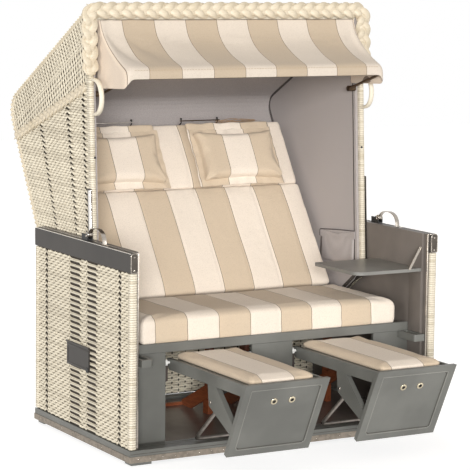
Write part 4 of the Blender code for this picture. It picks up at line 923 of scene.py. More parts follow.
def plait(points, ups, width, depth, period=0.085, strand=(0.0085, 0.0048), count=3, step=0.0035):
    """Strands plaited along a path: width runs across the ups, depth along them."""
    path, reach = even(points, step)
    ups = np.array(ups, float)
    rows = np.repeat(ups[None], len(path), 0) if ups.ndim == 1 else np.stack(
        [np.interp(reach / reach[-1], np.linspace(0, 1, len(ups)), ups[:, i]) for i in range(3)], 1)
    ways = np.gradient(path, axis=0)
    ways /= np.linalg.norm(ways, axis=1)[:, None]
    rows -= (rows * ways).sum(1)[:, None] * ways
    rows /= np.linalg.norm(rows, axis=1)[:, None]
    sides = np.cross(ways, rows)
    parts = []
    ends = np.clip(np.minimum(reach, reach[-1] - reach) / 0.02, 0.25, 1)
    for index in range(count):
        turn = reach / period * math.tau + math.tau * index / count
        across = np.sin(turn) * (width / 2 - strand[0] * 0.75)
        out = np.sin(2 * turn) * (depth / 2 - strand[1] * 0.9)
        line = path + sides * across[:, None] + rows * out[:, None]
        angles = np.arange(27) * math.tau / 27
        ribs = 1 + 0.07 * np.cos(9 * angles)
        ring = ellipse(strand[0], strand[1], 27, 2.4) * ribs[:, None]
        parts.append(sweep(line, rows, ring[None] * ends[:, None, None]))
    return parts


def build_rim():
    """The plaited rim with its two legs, a second plait on top and the sides' slanting plaits."""
    middle_x = (HOOD_OUT + 0.022 + 0.5577) / 2
    foot, top = 1.342, RIM_TOP - 0.0275
    corners = [(-middle_x, foot), (-middle_x, top), (middle_x, top), (middle_x, foot)]
    flat = rounded_path(corners, 0.030, 8)
    face = -0.001
    line = [(x, Y(post_y(z) + face), z) for x, z in flat]
    up = (0, -1, LEAN)
    strands = plait(line, up, 0.0555, 0.028, 0.150, (0.0128, 0.0062), 3)
    middle_line, _ = even(line, 0.01)
    core = sweep(middle_line, np.array([up] * len(middle_line)), ellipse(0.019, 0.008, 12, 3))
    rim = mesh_piece("rim_plait", [*strands, core], PLAIT, 60)
    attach(rim, "hood")
    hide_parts("rim_braid")
    ledge = [(x, Y(post_y(1.546) + deep), z) for z, near in ((1.526, 0.019), (1.560, 0.010))
             for deep in (near, near + 0.004) for x in (-0.5570, 0.5570)]
    backing = mesh_piece("rim_backing", [(ledge, BRICK_FACES)], BOUND)
    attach(backing, "hood")
    # A second strip of the plait lies over the rim's top, back to the roof.
    top_line = [(x, Y(post_y(HOOD_TOP) + 0.014), RIM_TOP - 0.010) for x in (-middle_x, middle_x)]
    back = mesh_piece("rim_plait_top", plait(top_line, (0, 0, 1), 0.030, 0.018, 0.110, (0.0080, 0.0050), 3), PLAIT, 60)
    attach(back, "hood")
    for word, side in SIDES:
        line = [(side * (HOOD_OUT - 0.0015), Y(y), z) for y, z in (SLANT[0], SLANT[1])]
        fitted(f"slant_plait_{word}", plait(line, (side, 0, 0), 0.036, 0.016, 0.110, (0.0090, 0.0040)), PLAIT,
               "hood", 60)


def build_posts():
    """The bound front posts, their lining strips and the loop handles."""
    for word, side in SIDES:
        x = sorted((side * 0.5685, side * 0.590))
        foot, top = 0.560, 1.553
        y0 = post_y(foot)
        edge = sorted((side * 0.5577, side * 0.5680))
        corners = [(x_place, Y(post_y(z) + deep), z) for z in (foot, top) for deep in (0.0175, POST_DEPTH)
                   for x_place in edge]
        fitted(f"post_lining_{word}", [(corners, BRICK_FACES)], LINING, "hood")
        post = bound_post(f"hood_post_wrap_{word}", (x[0], Y(y0)), (x[1], Y(y0 + POST_DEPTH)), foot, top, LEAN,
                          0.0080, 41, BOUND)
        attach(post, "hood")
        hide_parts(f"hood_post_{word}")
        low, high = 1.200, 1.325
        turn = np.linspace(0.02, math.pi - 0.02, 40)
        heights = (low + high) / 2 - (high - low) / 2 * np.cos(turn)
        line = [(side * 0.576, Y(post_y(z) - 0.0009 - 0.070 * math.sin(a) ** 0.72), z) for a, z in zip(turn, heights)]
        tube = wrapped_tube(line, (1, 0, 0), 0.0066, 0.0100, 0.0052, 0.0006)
        loop = mesh_piece(f"loop_wrap_{word}", [tube], BOUND, 60)
        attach(loop, "hood")
        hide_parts(f"loop_handle_{word}")


# Cushions: a rounded closed form, then blown up a little as cloth


def pillow_form(name, half, rows_y, depth, roundness, pull=0.010, cells=(26, 14, 4), foot_round=None):
    """A closed grid box, half wide each way in X and Y and from 0 to depth in Z. Its edges are rounded by
    roundness and its sides pulled in between the corners."""
    shape = bmesh.new()
    nx, ny, nz = cells
    made = {}

    def vert(i, j, k):
        if (i, j, k) not in made:
            made[i, j, k] = shape.verts.new((2 * i / nx - 1, 2 * j / ny - 1, k / nz))
        return made[i, j, k]

    def quad(*keys):
        shape.faces.new([vert(*key) for key in keys])

    for i in range(nx):
        for j in range(ny):
            quad((i, j, 0), (i, j + 1, 0), (i + 1, j + 1, 0), (i + 1, j, 0))
            quad((i, j, nz), (i + 1, j, nz), (i + 1, j + 1, nz), (i, j + 1, nz))
        for k in range(nz):
            quad((i, 0, k), (i + 1, 0, k), (i + 1, 0, k + 1), (i, 0, k + 1))
            quad((i, ny, k), (i, ny, k + 1), (i + 1, ny, k + 1), (i + 1, ny, k))
    for j in range(ny):
        for k in range(nz):
            quad((0, j, k), (0, j, k + 1), (0, j + 1, k + 1), (0, j + 1, k))
            quad((nx, j, k), (nx, j + 1, k), (nx, j + 1, k + 1), (nx, j, k + 1))
    for point in shape.verts:
        x, y, level = point.co
        flat_x = half - pull * (1 - y * y)
        flat_y = rows_y - pull * (1 - x * x)
        px, py, pz = x * flat_x, y * flat_y, level * depth
        r = min(roundness, depth / 2)
        core = Vector((max(-half + r, min(half - r, px)), max(-rows_y + r, min(rows_y - r, py)),
                       max(r, min(depth - r, pz))))
        outward = Vector((px, py, pz)) - core
        size = outward.length
        point.co = core + outward * (r / size) if size > r else Vector((px, py, pz))
        if foot_round is not None and point.co.z < r:
            z = point.co.z
            inset = r - math.sqrt(max(0.0, r * r - (r - z) ** 2))
            wanted = foot_round - math.sqrt(max(0.0, foot_round ** 2 - max(0.0, foot_round - z) ** 2))
            point.co.x *= (half - wanted) / (half - inset)
            point.co.y *= (rows_y - wanted) / (rows_y - inset)
    bmesh.ops.recalc_face_normals(shape, faces=shape.faces)
    mesh = bpy.data.meshes.new(name)
    shape.to_mesh(mesh)
    shape.free()
    return linked(name, mesh)


def boxed_form(name, half, reach, depth, top_round, side_round, foot_round, pull=0.003):
    """A cushion with walls: a rounded rectangle carried up, its top edge eased more than its foot. depth
    may be a function of (x, y) shares."""
    arc = np.linspace(0, math.pi / 2, 5)
    levels = [(foot_round, 0.0, 0), (foot_round * 0.3, foot_round * 0.3, 0), (0.0, foot_round, 0)]
    levels += [(top_round * (1 - math.cos(a)), top_round * (1 - math.sin(a)), 1) for a in arc]
    points, faces = [], []
    for inset, height, from_top in levels:
        hx, hy = half - inset, reach - inset
        r = max(side_round - inset, 0.003)
        ring = []
        for cx, cy, start in ((1, 1, 0), (-1, 1, 1), (-1, -1, 2), (1, -1, 3)):
            for a in np.linspace(0, math.pi / 2, 5):
                angle = start * math.pi / 2 + a
                ring.append((cx * (hx - r) + r * math.cos(angle), cy * (hy - r) + r * math.sin(angle)))
            if start in (0, 2):
                ring += [(x, cy * hy) for x in np.linspace(cx * (hx - r), -cx * (hx - r), 34)[1:-1]]
            else:
                ring += [(cx * hx, y) for y in np.linspace(cy * (hy - r), -cy * (hy - r), 14)[1:-1]]
        for x, y in ring:
            x -= np.sign(x) * pull * (1 - (y / hy) ** 2) * (abs(x) / hx) ** 6
            y -= np.sign(y) * pull * (1 - (x / hx) ** 2) * (abs(y) / hy) ** 6
            tall = depth(x / half, y / reach) if callable(depth) else depth
            points.append((x, y, tall - height if from_top else height))
    count = len(points) // len(levels)
    for level in range(len(levels) - 1):
        base = level * count
        faces += [(base + i, base + (i + 1) % count, base + count + (i + 1) % count, base + count + i)
                  for i in range(count)]
    faces += [tuple(range(count))[::-1], tuple(range(len(points) - count, len(points)))]
    return mesh_piece(name, [(points, faces)], SHADE_CORE)


def blow_up(piece, voxel=0.012, pressure=4.0, cap=0.012, frames=20, hold=None):
    """Blows a closed form up as cloth and keeps the result. hold(point) says which points stay where
    they are, as where the piece lies on something."""
    remesh = piece.modifiers.new("even_cells", "REMESH")
    remesh.mode = "VOXEL"
    remesh.voxel_size = voxel
    apply_all(piece)
    mesh = piece.data
    start = np.empty(len(mesh.vertices) * 3)
    mesh.vertices.foreach_get("co", start)
    start = start.reshape(-1, 3)
    group = piece.vertex_groups.new(name="held")
    if hold is not None:
        held = [int(i) for i in np.nonzero(hold(start))[0]]
        group.add(held, 1.0, "REPLACE")
    cloth = piece.modifiers.new("cloth", "CLOTH")
    cloth.settings.effector_weights.gravity = 0
    cloth.settings.use_pressure = True
    cloth.settings.uniform_pressure_force = pressure
    cloth.settings.quality = 5
    cloth.settings.mass = 0.3
    cloth.settings.tension_stiffness = cloth.settings.compression_stiffness = 12
    cloth.settings.bending_stiffness = 0.6
    if hold is not None:
        cloth.settings.vertex_group_mass = "held"
    cloth.point_cache.frame_start, cloth.point_cache.frame_end = 1, frames
    scene = bpy.context.scene
    for index in range(1, frames + 1):
        scene.frame_set(index)
    done = piece.evaluated_get(bpy.context.evaluated_depsgraph_get()).to_mesh()
    end = np.empty(len(done.vertices) * 3)
    done.vertices.foreach_get("co", end)
    end = end.reshape(-1, 3)
    move = end - start
    reach = np.linalg.norm(move, axis=1)
    scale = np.where(reach > 0, cap * np.tanh(reach / cap) / np.maximum(reach, 1e-9), 0)
    piece.modifiers.clear()
    piece.vertex_groups.clear()
    mesh.vertices.foreach_set("co", (start + move * scale[:, None]).ravel())
    mesh.update()
    scene.frame_set(1)
    smooth = piece.modifiers.new("soft", "SUBSURF")
    smooth.levels = smooth.render_levels = 1
    apply_all(piece)


def apply_all(piece):
    """Keeps what the modifiers make and removes them."""
    bpy.context.view_layer.update()
    made = bpy.data.meshes.new_from_object(piece.evaluated_get(bpy.context.evaluated_depsgraph_get()))
    piece.modifiers.clear()
    piece.data = made


def reshape(piece, change):
    """Moves a piece's points by a function of their places, as arrays."""
    mesh = piece.data
    points = np.empty(len(mesh.vertices) * 3)
    mesh.vertices.foreach_get("co", points)
    points = change(points.reshape(-1, 3))
    mesh.vertices.foreach_set("co", points.astype(np.float32).ravel())
    mesh.update()


def finish_cushion(piece, name, material, body, node):
    """Dresses a finished cushion and hides the frame node that it stands for."""
    piece.data.name = name
    piece.data.materials.clear()
    piece.data.materials.append(material)
    piece.data.shade_smooth()
    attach(piece, body)
    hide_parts(node)


def soft_noise(points, scale, seed):
    """A smooth, repeatable unevenness from a few sine waves."""
    rng = np.random.default_rng(seed)
    total = np.zeros(len(points))
    for _ in range(5):
        way = rng.normal(size=3)
        total += np.sin(points @ way * scale + rng.uniform(0, math.tau))
    return total / 5


PILLOW_LIFT = 0.1135  # the backrest's depth under the pillows
SEAT_LOW, SEAT_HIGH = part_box("seat_cushion")
SEAT_SEAMS = (-0.483, -0.355, -0.220, -0.086, 0.028, 0.161, 0.297, 0.430)
BACK_SEAMS = (-0.4735, -0.344, -0.212, -0.078, 0.042, 0.175, 0.299, 0.436)


def build_seat_cushion():
    """The seat cushion, gathered a little at each stripe seam."""
    half, reach = 0.543, (SEAT_HIGH[1] - SEAT_LOW[1]) / 2 + 0.002
    tall = 0.091
    piece = boxed_form("seat_cushion_soft", half - 0.002, reach - 0.001, tall, 0.020, 0.016, 0.003)

    def held(p):
        return (p[:, 2] < 0.012) | ((np.abs(p[:, 0]) > half - 0.012) & (p[:, 2] < 0.07))

    blow_up(piece, 0.010, 4.0, 0.006, hold=held)
    middle_y = (SEAT_HIGH[1] + SEAT_LOW[1]) / 2

    def change(p):
        x, y, z = p.T
        top = np.clip((z - 0.02) / 0.05, 0, 1)
        gather = sum(np.exp(-((x - seam) / 0.007) ** 2) for seam in SEAT_SEAMS)
        z = z + (0.0016 * soft_noise(p, 16, 3) - 0.0013 * gather) * top
        y = y + 0.0012 * gather * (y < 0.03 - reach)
        z = np.clip(z + 0.003 * (1 - (x / half) ** 2) * top, 0, None) - 0.0004
        return np.stack([x, y + middle_y, z + SEAT_LOW[2]], axis=1)

    reshape(piece, change)
    finish_cushion(piece, "seat_cushion_soft", SEAT_CLOTH, "base", "seat_cushion")


def back_place(p):
    """Puts local places (x, up the back, out of it) on the hood's inner back."""
    up = np.array((0, math.sin(BACK_SLOPE), math.cos(BACK_SLOPE)))
    out = np.array((0, -math.cos(BACK_SLOPE), math.sin(BACK_SLOPE)))
    origin = np.array((0, Y(BACK_POINT[0]), BACK_POINT[1])) + out * 0.0386
    return origin + p[:, :1] * np.array((1.0, 0, 0)) + p[:, 1:2] * up + p[:, 2:] * out


def build_backrest():
    """The backrest in two cushions that meet at the cross seam."""
    half = 0.528
    lower_top, upper_top = 0.062, 0.348
    parts = (("backrest_lower_soft", -0.398, lower_top + 0.001, 0.158, 0.122),
             ("backrest_upper_soft", lower_top - 0.001, upper_top, 0.120, 0.108))
    for name, low, high, thick_low, thick_high in parts:
        reach = (high - low) / 2
        middle = (low + high) / 2

        def depth(_, y, a=thick_low, b=thick_high):
            return (a + (b - a) * (y + 1) / 2) - 0.010

        piece = boxed_form(name, half - 0.001, reach, depth, 0.010, 0.014, 0.004, 0.002)

        def held(p, r=reach):
            return (p[:, 2] < 0.010) | (np.abs(p[:, 0]) > half - 0.010) | (np.abs(p[:, 1]) > r - 0.010)

        blow_up(piece, 0.010, 4.0, 0.006, hold=held)

        def change(p):
            x, y, z = p.T
            top = np.clip((z - 0.05) / 0.04, 0, 1)
            gather = sum(np.exp(-((x - seam) / 0.006) ** 2) for seam in BACK_SEAMS)
            z = z - 0.0018 * gather * top + 0.0022 * soft_noise(p, 14, 5) * top
            near_seam = np.exp(-(((y + middle) - lower_top) / 0.020) ** 2)
            ripple = np.sin(x * 95 + 1.3 * np.sin(x * 21)) * 0.0012
            z = z + ripple * near_seam * top
            z = np.clip(z, 0, None)
            return back_place(np.stack([x, y + middle, z], axis=1))

        reshape(piece, change)
        finish_cushion(piece, name, BACK_CLOTH, "hood", "backrest_cushion")


def build_pillows():
    """The neck pillows with their flat flanges and folded top strips."""
    for word, side in SIDES:
        centre = side * 0.262
        half, low, high = 0.198, 0.052, 0.306
        reach, middle = (high - low) / 2, (high + low) / 2
        name = f"neck_pillow_soft_{word}"
        flange = 0.016
        piece = pillow_form(name, half - flange, reach - flange, 0.046, 0.022, 0.014, (28, 18, 4))
        blow_up(piece, 0.008, 5.0, 0.009, hold=lambda p: p[:, 2] < 0.004)
        cloth = PILLOW_CLOTH[word]

        def creased(x, y):
            """Creases that run in from the corners and, shorter, from the edges."""
            total = np.zeros_like(x)
            for cx in (-half, half):
                for cy in (-reach, reach):
                    away = np.hypot(x - cx, y - cy)
                    angle = np.arctan2(y - cy, x - cx)
                    total += np.exp(-(away / 0.075) ** 2) * np.sin(angle * 15 + cx * 30)
            edge = np.exp(-(np.minimum(half - np.abs(x), reach - np.abs(y)) / 0.020) ** 2)
            return total + 0.5 * edge * np.sin((x + y) * 120 + 2 * np.sin(x * 37))

        def change(p):
            x, y, z = p.T
            top = np.clip((z - 0.012) / 0.02, 0, 1)
            z = z + (0.0030 * creased(x, y) + 0.0022 * soft_noise(p, 24, 11 + side)) * top
            return back_place(np.stack([x + centre, y + middle, np.clip(z, 0, None) + PILLOW_LIFT], axis=1))

        reshape(piece, change)
        finish_cushion(piece, name, cloth, "hood", f"neck_pillow_{word}")
        # The flat flange that the pillow's two faces are sewn into
        outer = even(rounded_path([(0, -reach), (half, -reach), (half, reach), (-half, reach), (-half, -reach),
                                   (0, -reach)], 0.008, 4), 0.008)[0][:-1]
        count = len(outer)
        rings = []
        for inset, level in ((0.0, 0.0170), (0.0, 0.0155), (0.030, 0.0150), (0.030, 0.0195)):
            inward = outer * (1 - inset / np.array((half, reach)))
            at_side, at_end = np.abs(outer[:, 0]) > half - 0.01, np.abs(outer[:, 1]) > reach - 0.01
            pull = 0.006 * (1 - (outer[:, 1] / reach) ** 2) * np.sign(outer[:, 0]) * at_side
            pull_y = 0.007 * (1 - (outer[:, 0] / half) ** 2) * np.sign(outer[:, 1]) * at_end
            wave = 0.0022 * np.sin(np.arange(count) * 0.9) + 0.0015 * np.sin(np.arange(count) * 0.37)
            rings.append(np.stack([inward[:, 0] - pull, inward[:, 1] - pull_y, level + wave * (inset == 0)], axis=1))
        points = back_place(np.concatenate(rings) + np.array((centre, middle, PILLOW_LIFT)))
        faces = [(a * count + i, a * count + (i + 1) % count, ((a + 1) % 4) * count + (i + 1) % count,
                  ((a + 1) % 4) * count + i) for a in range(4) for i in range(count)]
        rim = mesh_piece(f"neck_pillow_flange_{word}", [(points, faces)], cloth, 50)
        # The strip folded over along its top edge
        fold = pillow_form("fold", half - 0.010, 0.017, 0.013, 0.006, 0.001, (40, 6, 3))
        reshape(fold, lambda p: p + np.stack([p[:, 0] * 0, 0.0015 * np.sin(p[:, 0] * 60),
                                              0.0018 * np.sin(p[:, 0] * 75 + 1)], axis=1))
        reshape(fold, lambda p: back_place(p + np.array((centre, high + 0.012, 0.1115))))
        fold.name = fold.data.name = f"neck_pillow_fold_{word}"
        fold.data.materials.append(cloth)
        fold.data.shade_smooth()
        for extra in (rim, fold):
            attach(extra, "hood")


def build_footrest_pads():
    """The footrests' thin pads."""
    for word, _ in SIDES:
        low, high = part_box(f"footrest_pad_{word}")
        half, reach = (high[0] - low[0]) / 2, (high[1] - low[1]) / 2
        centre = np.array(((low[0] + high[0]) / 2, (low[1] + high[1]) / 2, low[2]))
        name = f"footrest_pad_soft_{word}"
        piece = pillow_form(name, half - 0.001, reach - 0.003, 0.025, 0.012, 0.002, (16, 28, 3), 0.002)
        blow_up(piece, 0.009, 3.0, 0.005, hold=lambda p: p[:, 2] < 0.004)
        reshape(piece, lambda p: np.stack([p[:, 0], p[:, 1], np.clip(p[:, 2], 0, None)], axis=1) + centre)
        finish_cushion(piece, name, PAD_CLOTH[word], f"footrest_{word}", f"footrest_pad_{word}")


# The awning: one sheet from the roof's front over its bow, with a gusset at each end


# The front sheet's (y, z) places from the roof down over the bar to the hem
AWNING_PROFILE = np.array([(0.462, 1.541), (0.446, 1.500), (0.416, 1.470), (0.388, 1.448), (0.350, 1.425),
                           (0.305, 1.402), (0.268, 1.387), (0.244, 1.378), (0.2370, 1.366), (0.2352, 1.356),
                           (0.2352, 1.345), (0.2352, 1.334)])
AWNING_HALF = 0.545
GUSSET_BACK, GUSSET_FOOT, CORNER_FOOT = 0.472, 1.290, 1.300
HEM_ROWS = 4
AWNING_THICKNESS = 0.0022
AWNING_STITCHES = 90


def build_awning():
    """The awning as one sheet. Returns the line of its stitched seam."""
    half, profile = AWNING_HALF, AWNING_PROFILE
    rows = len(profile)
    front_cells, gusset_cells = 56, 12
    xs = np.linspace(-(half - 0.022), half - 0.022, front_cells + 1)
    grid = []
    for index, (y, z) in enumerate(profile):
        fall = (profile[0][1] - z) / (profile[0][1] - profile[-1][1])
        side_z = z + (CORNER_FOOT - profile[-1][1]) * fall ** 2
        back_z = profile[0][1] + (GUSSET_FOOT - profile[0][1]) * fall
        share = np.linspace(0, 0.93, gusset_cells)
        gy = GUSSET_BACK + (y - GUSSET_BACK) * share
        gz = back_z + (side_z - back_z) * share
        hollow = 0.004 * np.sin(share * math.pi) * fall
        left = np.stack([-(half - hollow), gy, gz], axis=1)
        right = np.stack([half - hollow, gy, gz], axis=1)
        corner = np.array([(half - 0.006, y + 0.002, side_z * 0.6 + z * 0.4), (half - 0.014, y, (side_z + z * 2) / 3)])
        front = np.stack([xs, np.full(len(xs), y), np.full(len(xs), z)], axis=1)
        # The sheet sags a little between the roof and the bar, with creases that run in from its corners.
        hang = math.sin(min(1.0, fall / 0.82) * math.pi)
        inward = (half - np.abs(xs)) / 0.30
        down = fall * 0.9 + 0.08
        angle = np.arctan2(down, inward + 0.05)
        away = np.hypot(down, inward)
        fan = 1.7 * np.exp(-(away / 0.75) ** 2) * np.sin(angle * 15 + 0.6) * (xs < 0) + 0.9 * np.exp(
            -(away / 0.6) ** 2) * np.sin(angle * 14) * (xs > 0)
        loose = 0.0034 * np.sin(xs * 13 + fall * 3) * np.sin(fall * 9)
        front[:, 2] -= (0.010 * hang - (0.0150 * fan + loose) * hang)
        front[:, 1] += 0.0045 * hang + 0.009 * fan * hang
        hem = 0.0008 * np.sin(xs * 60) * (index >= rows - HEM_ROWS)
        front[:, 1] -= hem
        grid.append(np.concatenate([left, corner[:1] * (-1, 1, 1), corner[1:] * (-1, 1, 1), front, corner[::-1],
                                    right[::-1]]))
    grid = np.array(grid)
    grid[:, :, 1] += FRONT
    wide = grid.shape[1]
    points = grid.reshape(-1, 3)
    faces = grid_faces(rows, wide)
    mesh = bpy.data.meshes.new("awning_soft")
    mesh.from_pydata([tuple(p) for p in points], [], faces)
    piece = linked("awning_soft", mesh)
    thick = piece.modifiers.new("cloth", "SOLIDIFY")
    thick.thickness, thick.offset = AWNING_THICKNESS, 0
    smooth = piece.modifiers.new("soft", "SUBSURF")
    smooth.levels = smooth.render_levels = 1
    apply_all(piece)
    piece.data.materials.append(AWNING_CLOTH)
    piece.data.shade_smooth()
    turn_outward(piece.data)
    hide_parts("awning_cloth")
    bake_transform(piece)
    # A stitched seam just below the bar
    return [(x, Y(0.2362) - 0.0018, 1.3665) for x in np.linspace(-0.515, 0.515, AWNING_STITCHES)]


POCKET_PLANE, POCKET_THICKNESS = 0.5577, 0.0016
POCKET_LOW, POCKET_TOP = 0.575, 0.713
POCKET_SPAN = (0.446, 0.690)
POCKET_FLAP = [(0.691, 0.668), (0.691, 0.694), (0.560, 0.706), (0.436, 0.714), (0.436, 0.682), (0.560, 0.673),
               (0.668, 0.665)]


def build_pocket():
    """The flat pocket on the right lining, with its flap."""
    rows, columns = 12, 16
    y_low, y_high = POCKET_SPAN
    points = []
    for r in range(rows + 1):
        for c in range(columns + 1):
            s, t = c / columns, r / rows
            y = y_low - 0.004 * t + (y_high - y_low) * s
            z = POCKET_LOW + t * ((POCKET_TOP - 0.016 * s) - POCKET_LOW)
            belly = math.sin(math.pi * s) * (0.3 + 0.7 * t) * 0.0045
            lip = 0.0015 * (t > 0.9)
            points.append((POCKET_PLANE - 0.0018 - belly - lip, Y(y), z - 0.012 * math.sin(math.pi * s) * (t > 0.95)))
    faces = grid_faces(rows + 1, columns + 1)
    mesh = bpy.data.meshes.new("side_pocket_soft")
    mesh.from_pydata(points, [], faces)
    piece = linked("side_pocket_soft", mesh)
    thick = piece.modifiers.new("cloth", "SOLIDIFY")
    thick.thickness, thick.offset = POCKET_THICKNESS, 0
    apply_all(piece)
    piece.data.materials.append(LINING)
    piece.data.shade_smooth()
    turn_outward(piece.data)
    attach(piece, "hood")
    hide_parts("side_pocket")
    corners = [(x_place, Y(y), z) for x_place in (0.5556, 0.5526) for y, z in POCKET_FLAP]
    fitted("pocket_flap", [(corners, prism_faces(len(POCKET_FLAP)))], LINING, "hood")
    hem = [(0.5530, Y(y), z) for y, z in rounded_path(POCKET_FLAP[:4], 0.006, 4)]
    fitted("pocket_flap_edge", [wrapped_tube(hem, (1, 0, 0), 0.0022, 0.0016, 0.006, 0.0002, 8)], LINING_DARK,
           "hood", 60)


# Fittings and trims


def dome(centre, axis, radius, height):
    """A round nail or screw head, its foot a little sunk."""
    profile = [(radius, -height * 0.3), (radius, 0)]
    profile += [(radius * math.cos(a), height * math.sin(a)) for a in np.linspace(0.2, 1.35, 5)] + [(0, height)]
    return lathe_part(profile, centre, axis, 12)


def strip_along(points, normal, width, thickness):
    """A flat strip along a path. Its thickness lies along the normal and its width across."""
    path = np.array(points, float)
    ring = ellipse(width / 2, thickness / 2, 12, 6.0)
    return sweep(path, np.repeat([normal], len(path), 0).astype(float), ring)


def fitted(name, parts, material, body, smooth_angle=40):
    """A small piece with its material, on its body."""
    piece = mesh_piece(name, parts, material, smooth_angle)
    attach(piece, body)
    return piece


def build_nails():
    """Nails along the strip round the foot."""
    parts = []
    skin = ARM_OUT + 0.0024
    for y in np.arange(0.030, 0.800, 0.0485):
        for side in (-1, 1):
            parts.append(dome((side * skin, Y(y), 0.0235), (side, 0, 0), 0.0026, 0.0014))
    for x in np.arange(-0.61, 0.62, 0.0488):
        parts.append(dome((x, Y(-0.0024), 0.0235), (0, -1, 0), 0.0026, 0.0014))
    fitted("strip_nails", parts, STEEL, "base", 60)


def build_sill():
    """Three low battens behind the sill, and a dark line of painted shade along the sill's front."""
    parts = []
    inner = 0.5855
    for near, far, top in ((0.0385, 0.0560, 0.0515), (0.0640, 0.0840, 0.0495), (0.0920, 0.1130, 0.0475)):
        parts.append(box_part((-inner, Y(near), 0.0452), (inner, Y(far), top), 0.0012))
    fitted("sill_battens", parts, PAINT, "base")
    line = [box_part((-0.640, Y(-0.0008), 0.0420), (0.640, Y(0.0004), 0.0432), 0.0002)]
    fitted("sill_shadow_line", line, SHADE_CORE, "base")


def build_boards():
    """The arms' inner boards, with their front edges set back behind the bound posts."""
    for word, side in SIDES:
        low, high = BOARD_LOW, BOARD_HIGH
        x = sorted((side * low[0], side * high[0]))
        front = 0.034
        tongue = sorted((side * (low[0] + 0.0092), side * high[0]))
        parts = [box_part((x[0], Y(front), low[2]), (x[1], Y(ARM_DEPTH), high[2]), 0.0012),
                 box_part((tongue[0], Y(0.0125), low[2]), (tongue[1], Y(front + 0.004), high[2]), 0.0008)]
        board = fitted(f"arm_panel_{word}", parts, BOARD_PAINT, "base")
        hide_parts(f"arm_board_{word}")
        edge_x = sorted((side * (low[0] + 0.0086), side * (low[0] + 0.0150)))
        trim = [box_part((edge_x[0], Y(0.0118), low[2] + 0.001), (edge_x[1], Y(0.0170), high[2] - 0.001), 0.0006)]
        fitted(f"arm_panel_edge_{word}", trim, STEEL, "base")
        # The upright batten on the inner face, between the seat and the rail
        face_x = sorted((side * (low[0] + 0.002), side * (low[0] - 0.0022)))
        batten = [box_part((face_x[0], Y(0.0345), 0.375), (face_x[1], Y(0.112), 0.604), 0.0008)]
        fitted(f"arm_batten_{word}", batten, BOARD_PAINT, "base")
        # Bright edge along the rail's top and screws in the chrome cap
        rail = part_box(f"arm_rail_{word}")
        top = rail[1][2]
        for place, tag in ((ARM_OUT - 0.0012, "outer"), (ARM_OUT - 0.0268, "inner")):
            line = [(side * place, Y(y), top + 0.0002) for y in (0.004, ARM_DEPTH - 0.004)]
            bead = [strip_along(line, (0, 0, 1), 0.0030, 0.0018)]
            fitted(f"rail_edge_{tag}_{word}", bead, BRIGHT, "base")
        cap_low, cap_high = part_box(f"arm_cap_{word}")
        middle = (cap_low[0] + cap_high[0]) / 2
        outline = rounded_path([(cap_low[0] + 0.001, cap_low[2] + 0.001), (cap_low[0] + 0.001, cap_high[2] - 0.001),
                                (cap_high[0] - 0.001, cap_high[2] - 0.001), (cap_high[0] - 0.001, cap_low[2] + 0.001)],
                               0.0118, 8)
        rim = [(px, cap_low[1] + 0.0002, pz) for px, pz in [*outline, outline[0]]]
        rim, _ = even(rim, 0.003)
        parts = [sweep(rim, np.repeat([[0.0, 1.0, 0.0]], len(rim), 0), ellipse(0.0015, 0.0013, 8))]
        parts += [dome((middle, cap_low[1], z), (0, -1, 0), 0.0034, 0.0016)
                  for z in (cap_low[2] + 0.009, cap_high[2] - 0.014)]
        fitted(f"cap_rim_{word}", parts, STEEL, "base", 60)
        screw = [dome((side * ARM_OUT, Y(0.062), 0.348), (side, 0, 0), 0.0048, 0.0022)]
        fitted(f"arm_screw_{word}", screw, BLACK, "base", 60)


PANEL_LEAN = math.radians(26.3)
PANEL_TOP = (-0.4386, 0.3495)


def panel_place(down, proud):
    """A place (y, z) on a footrest's panel, down from its top edge and proud of its face."""
    return (PANEL_TOP[0] + down * math.sin(PANEL_LEAN) - proud * math.cos(PANEL_LEAN),
            PANEL_TOP[1] - down * math.cos(PANEL_LEAN) - proud * math.sin(PANEL_LEAN))


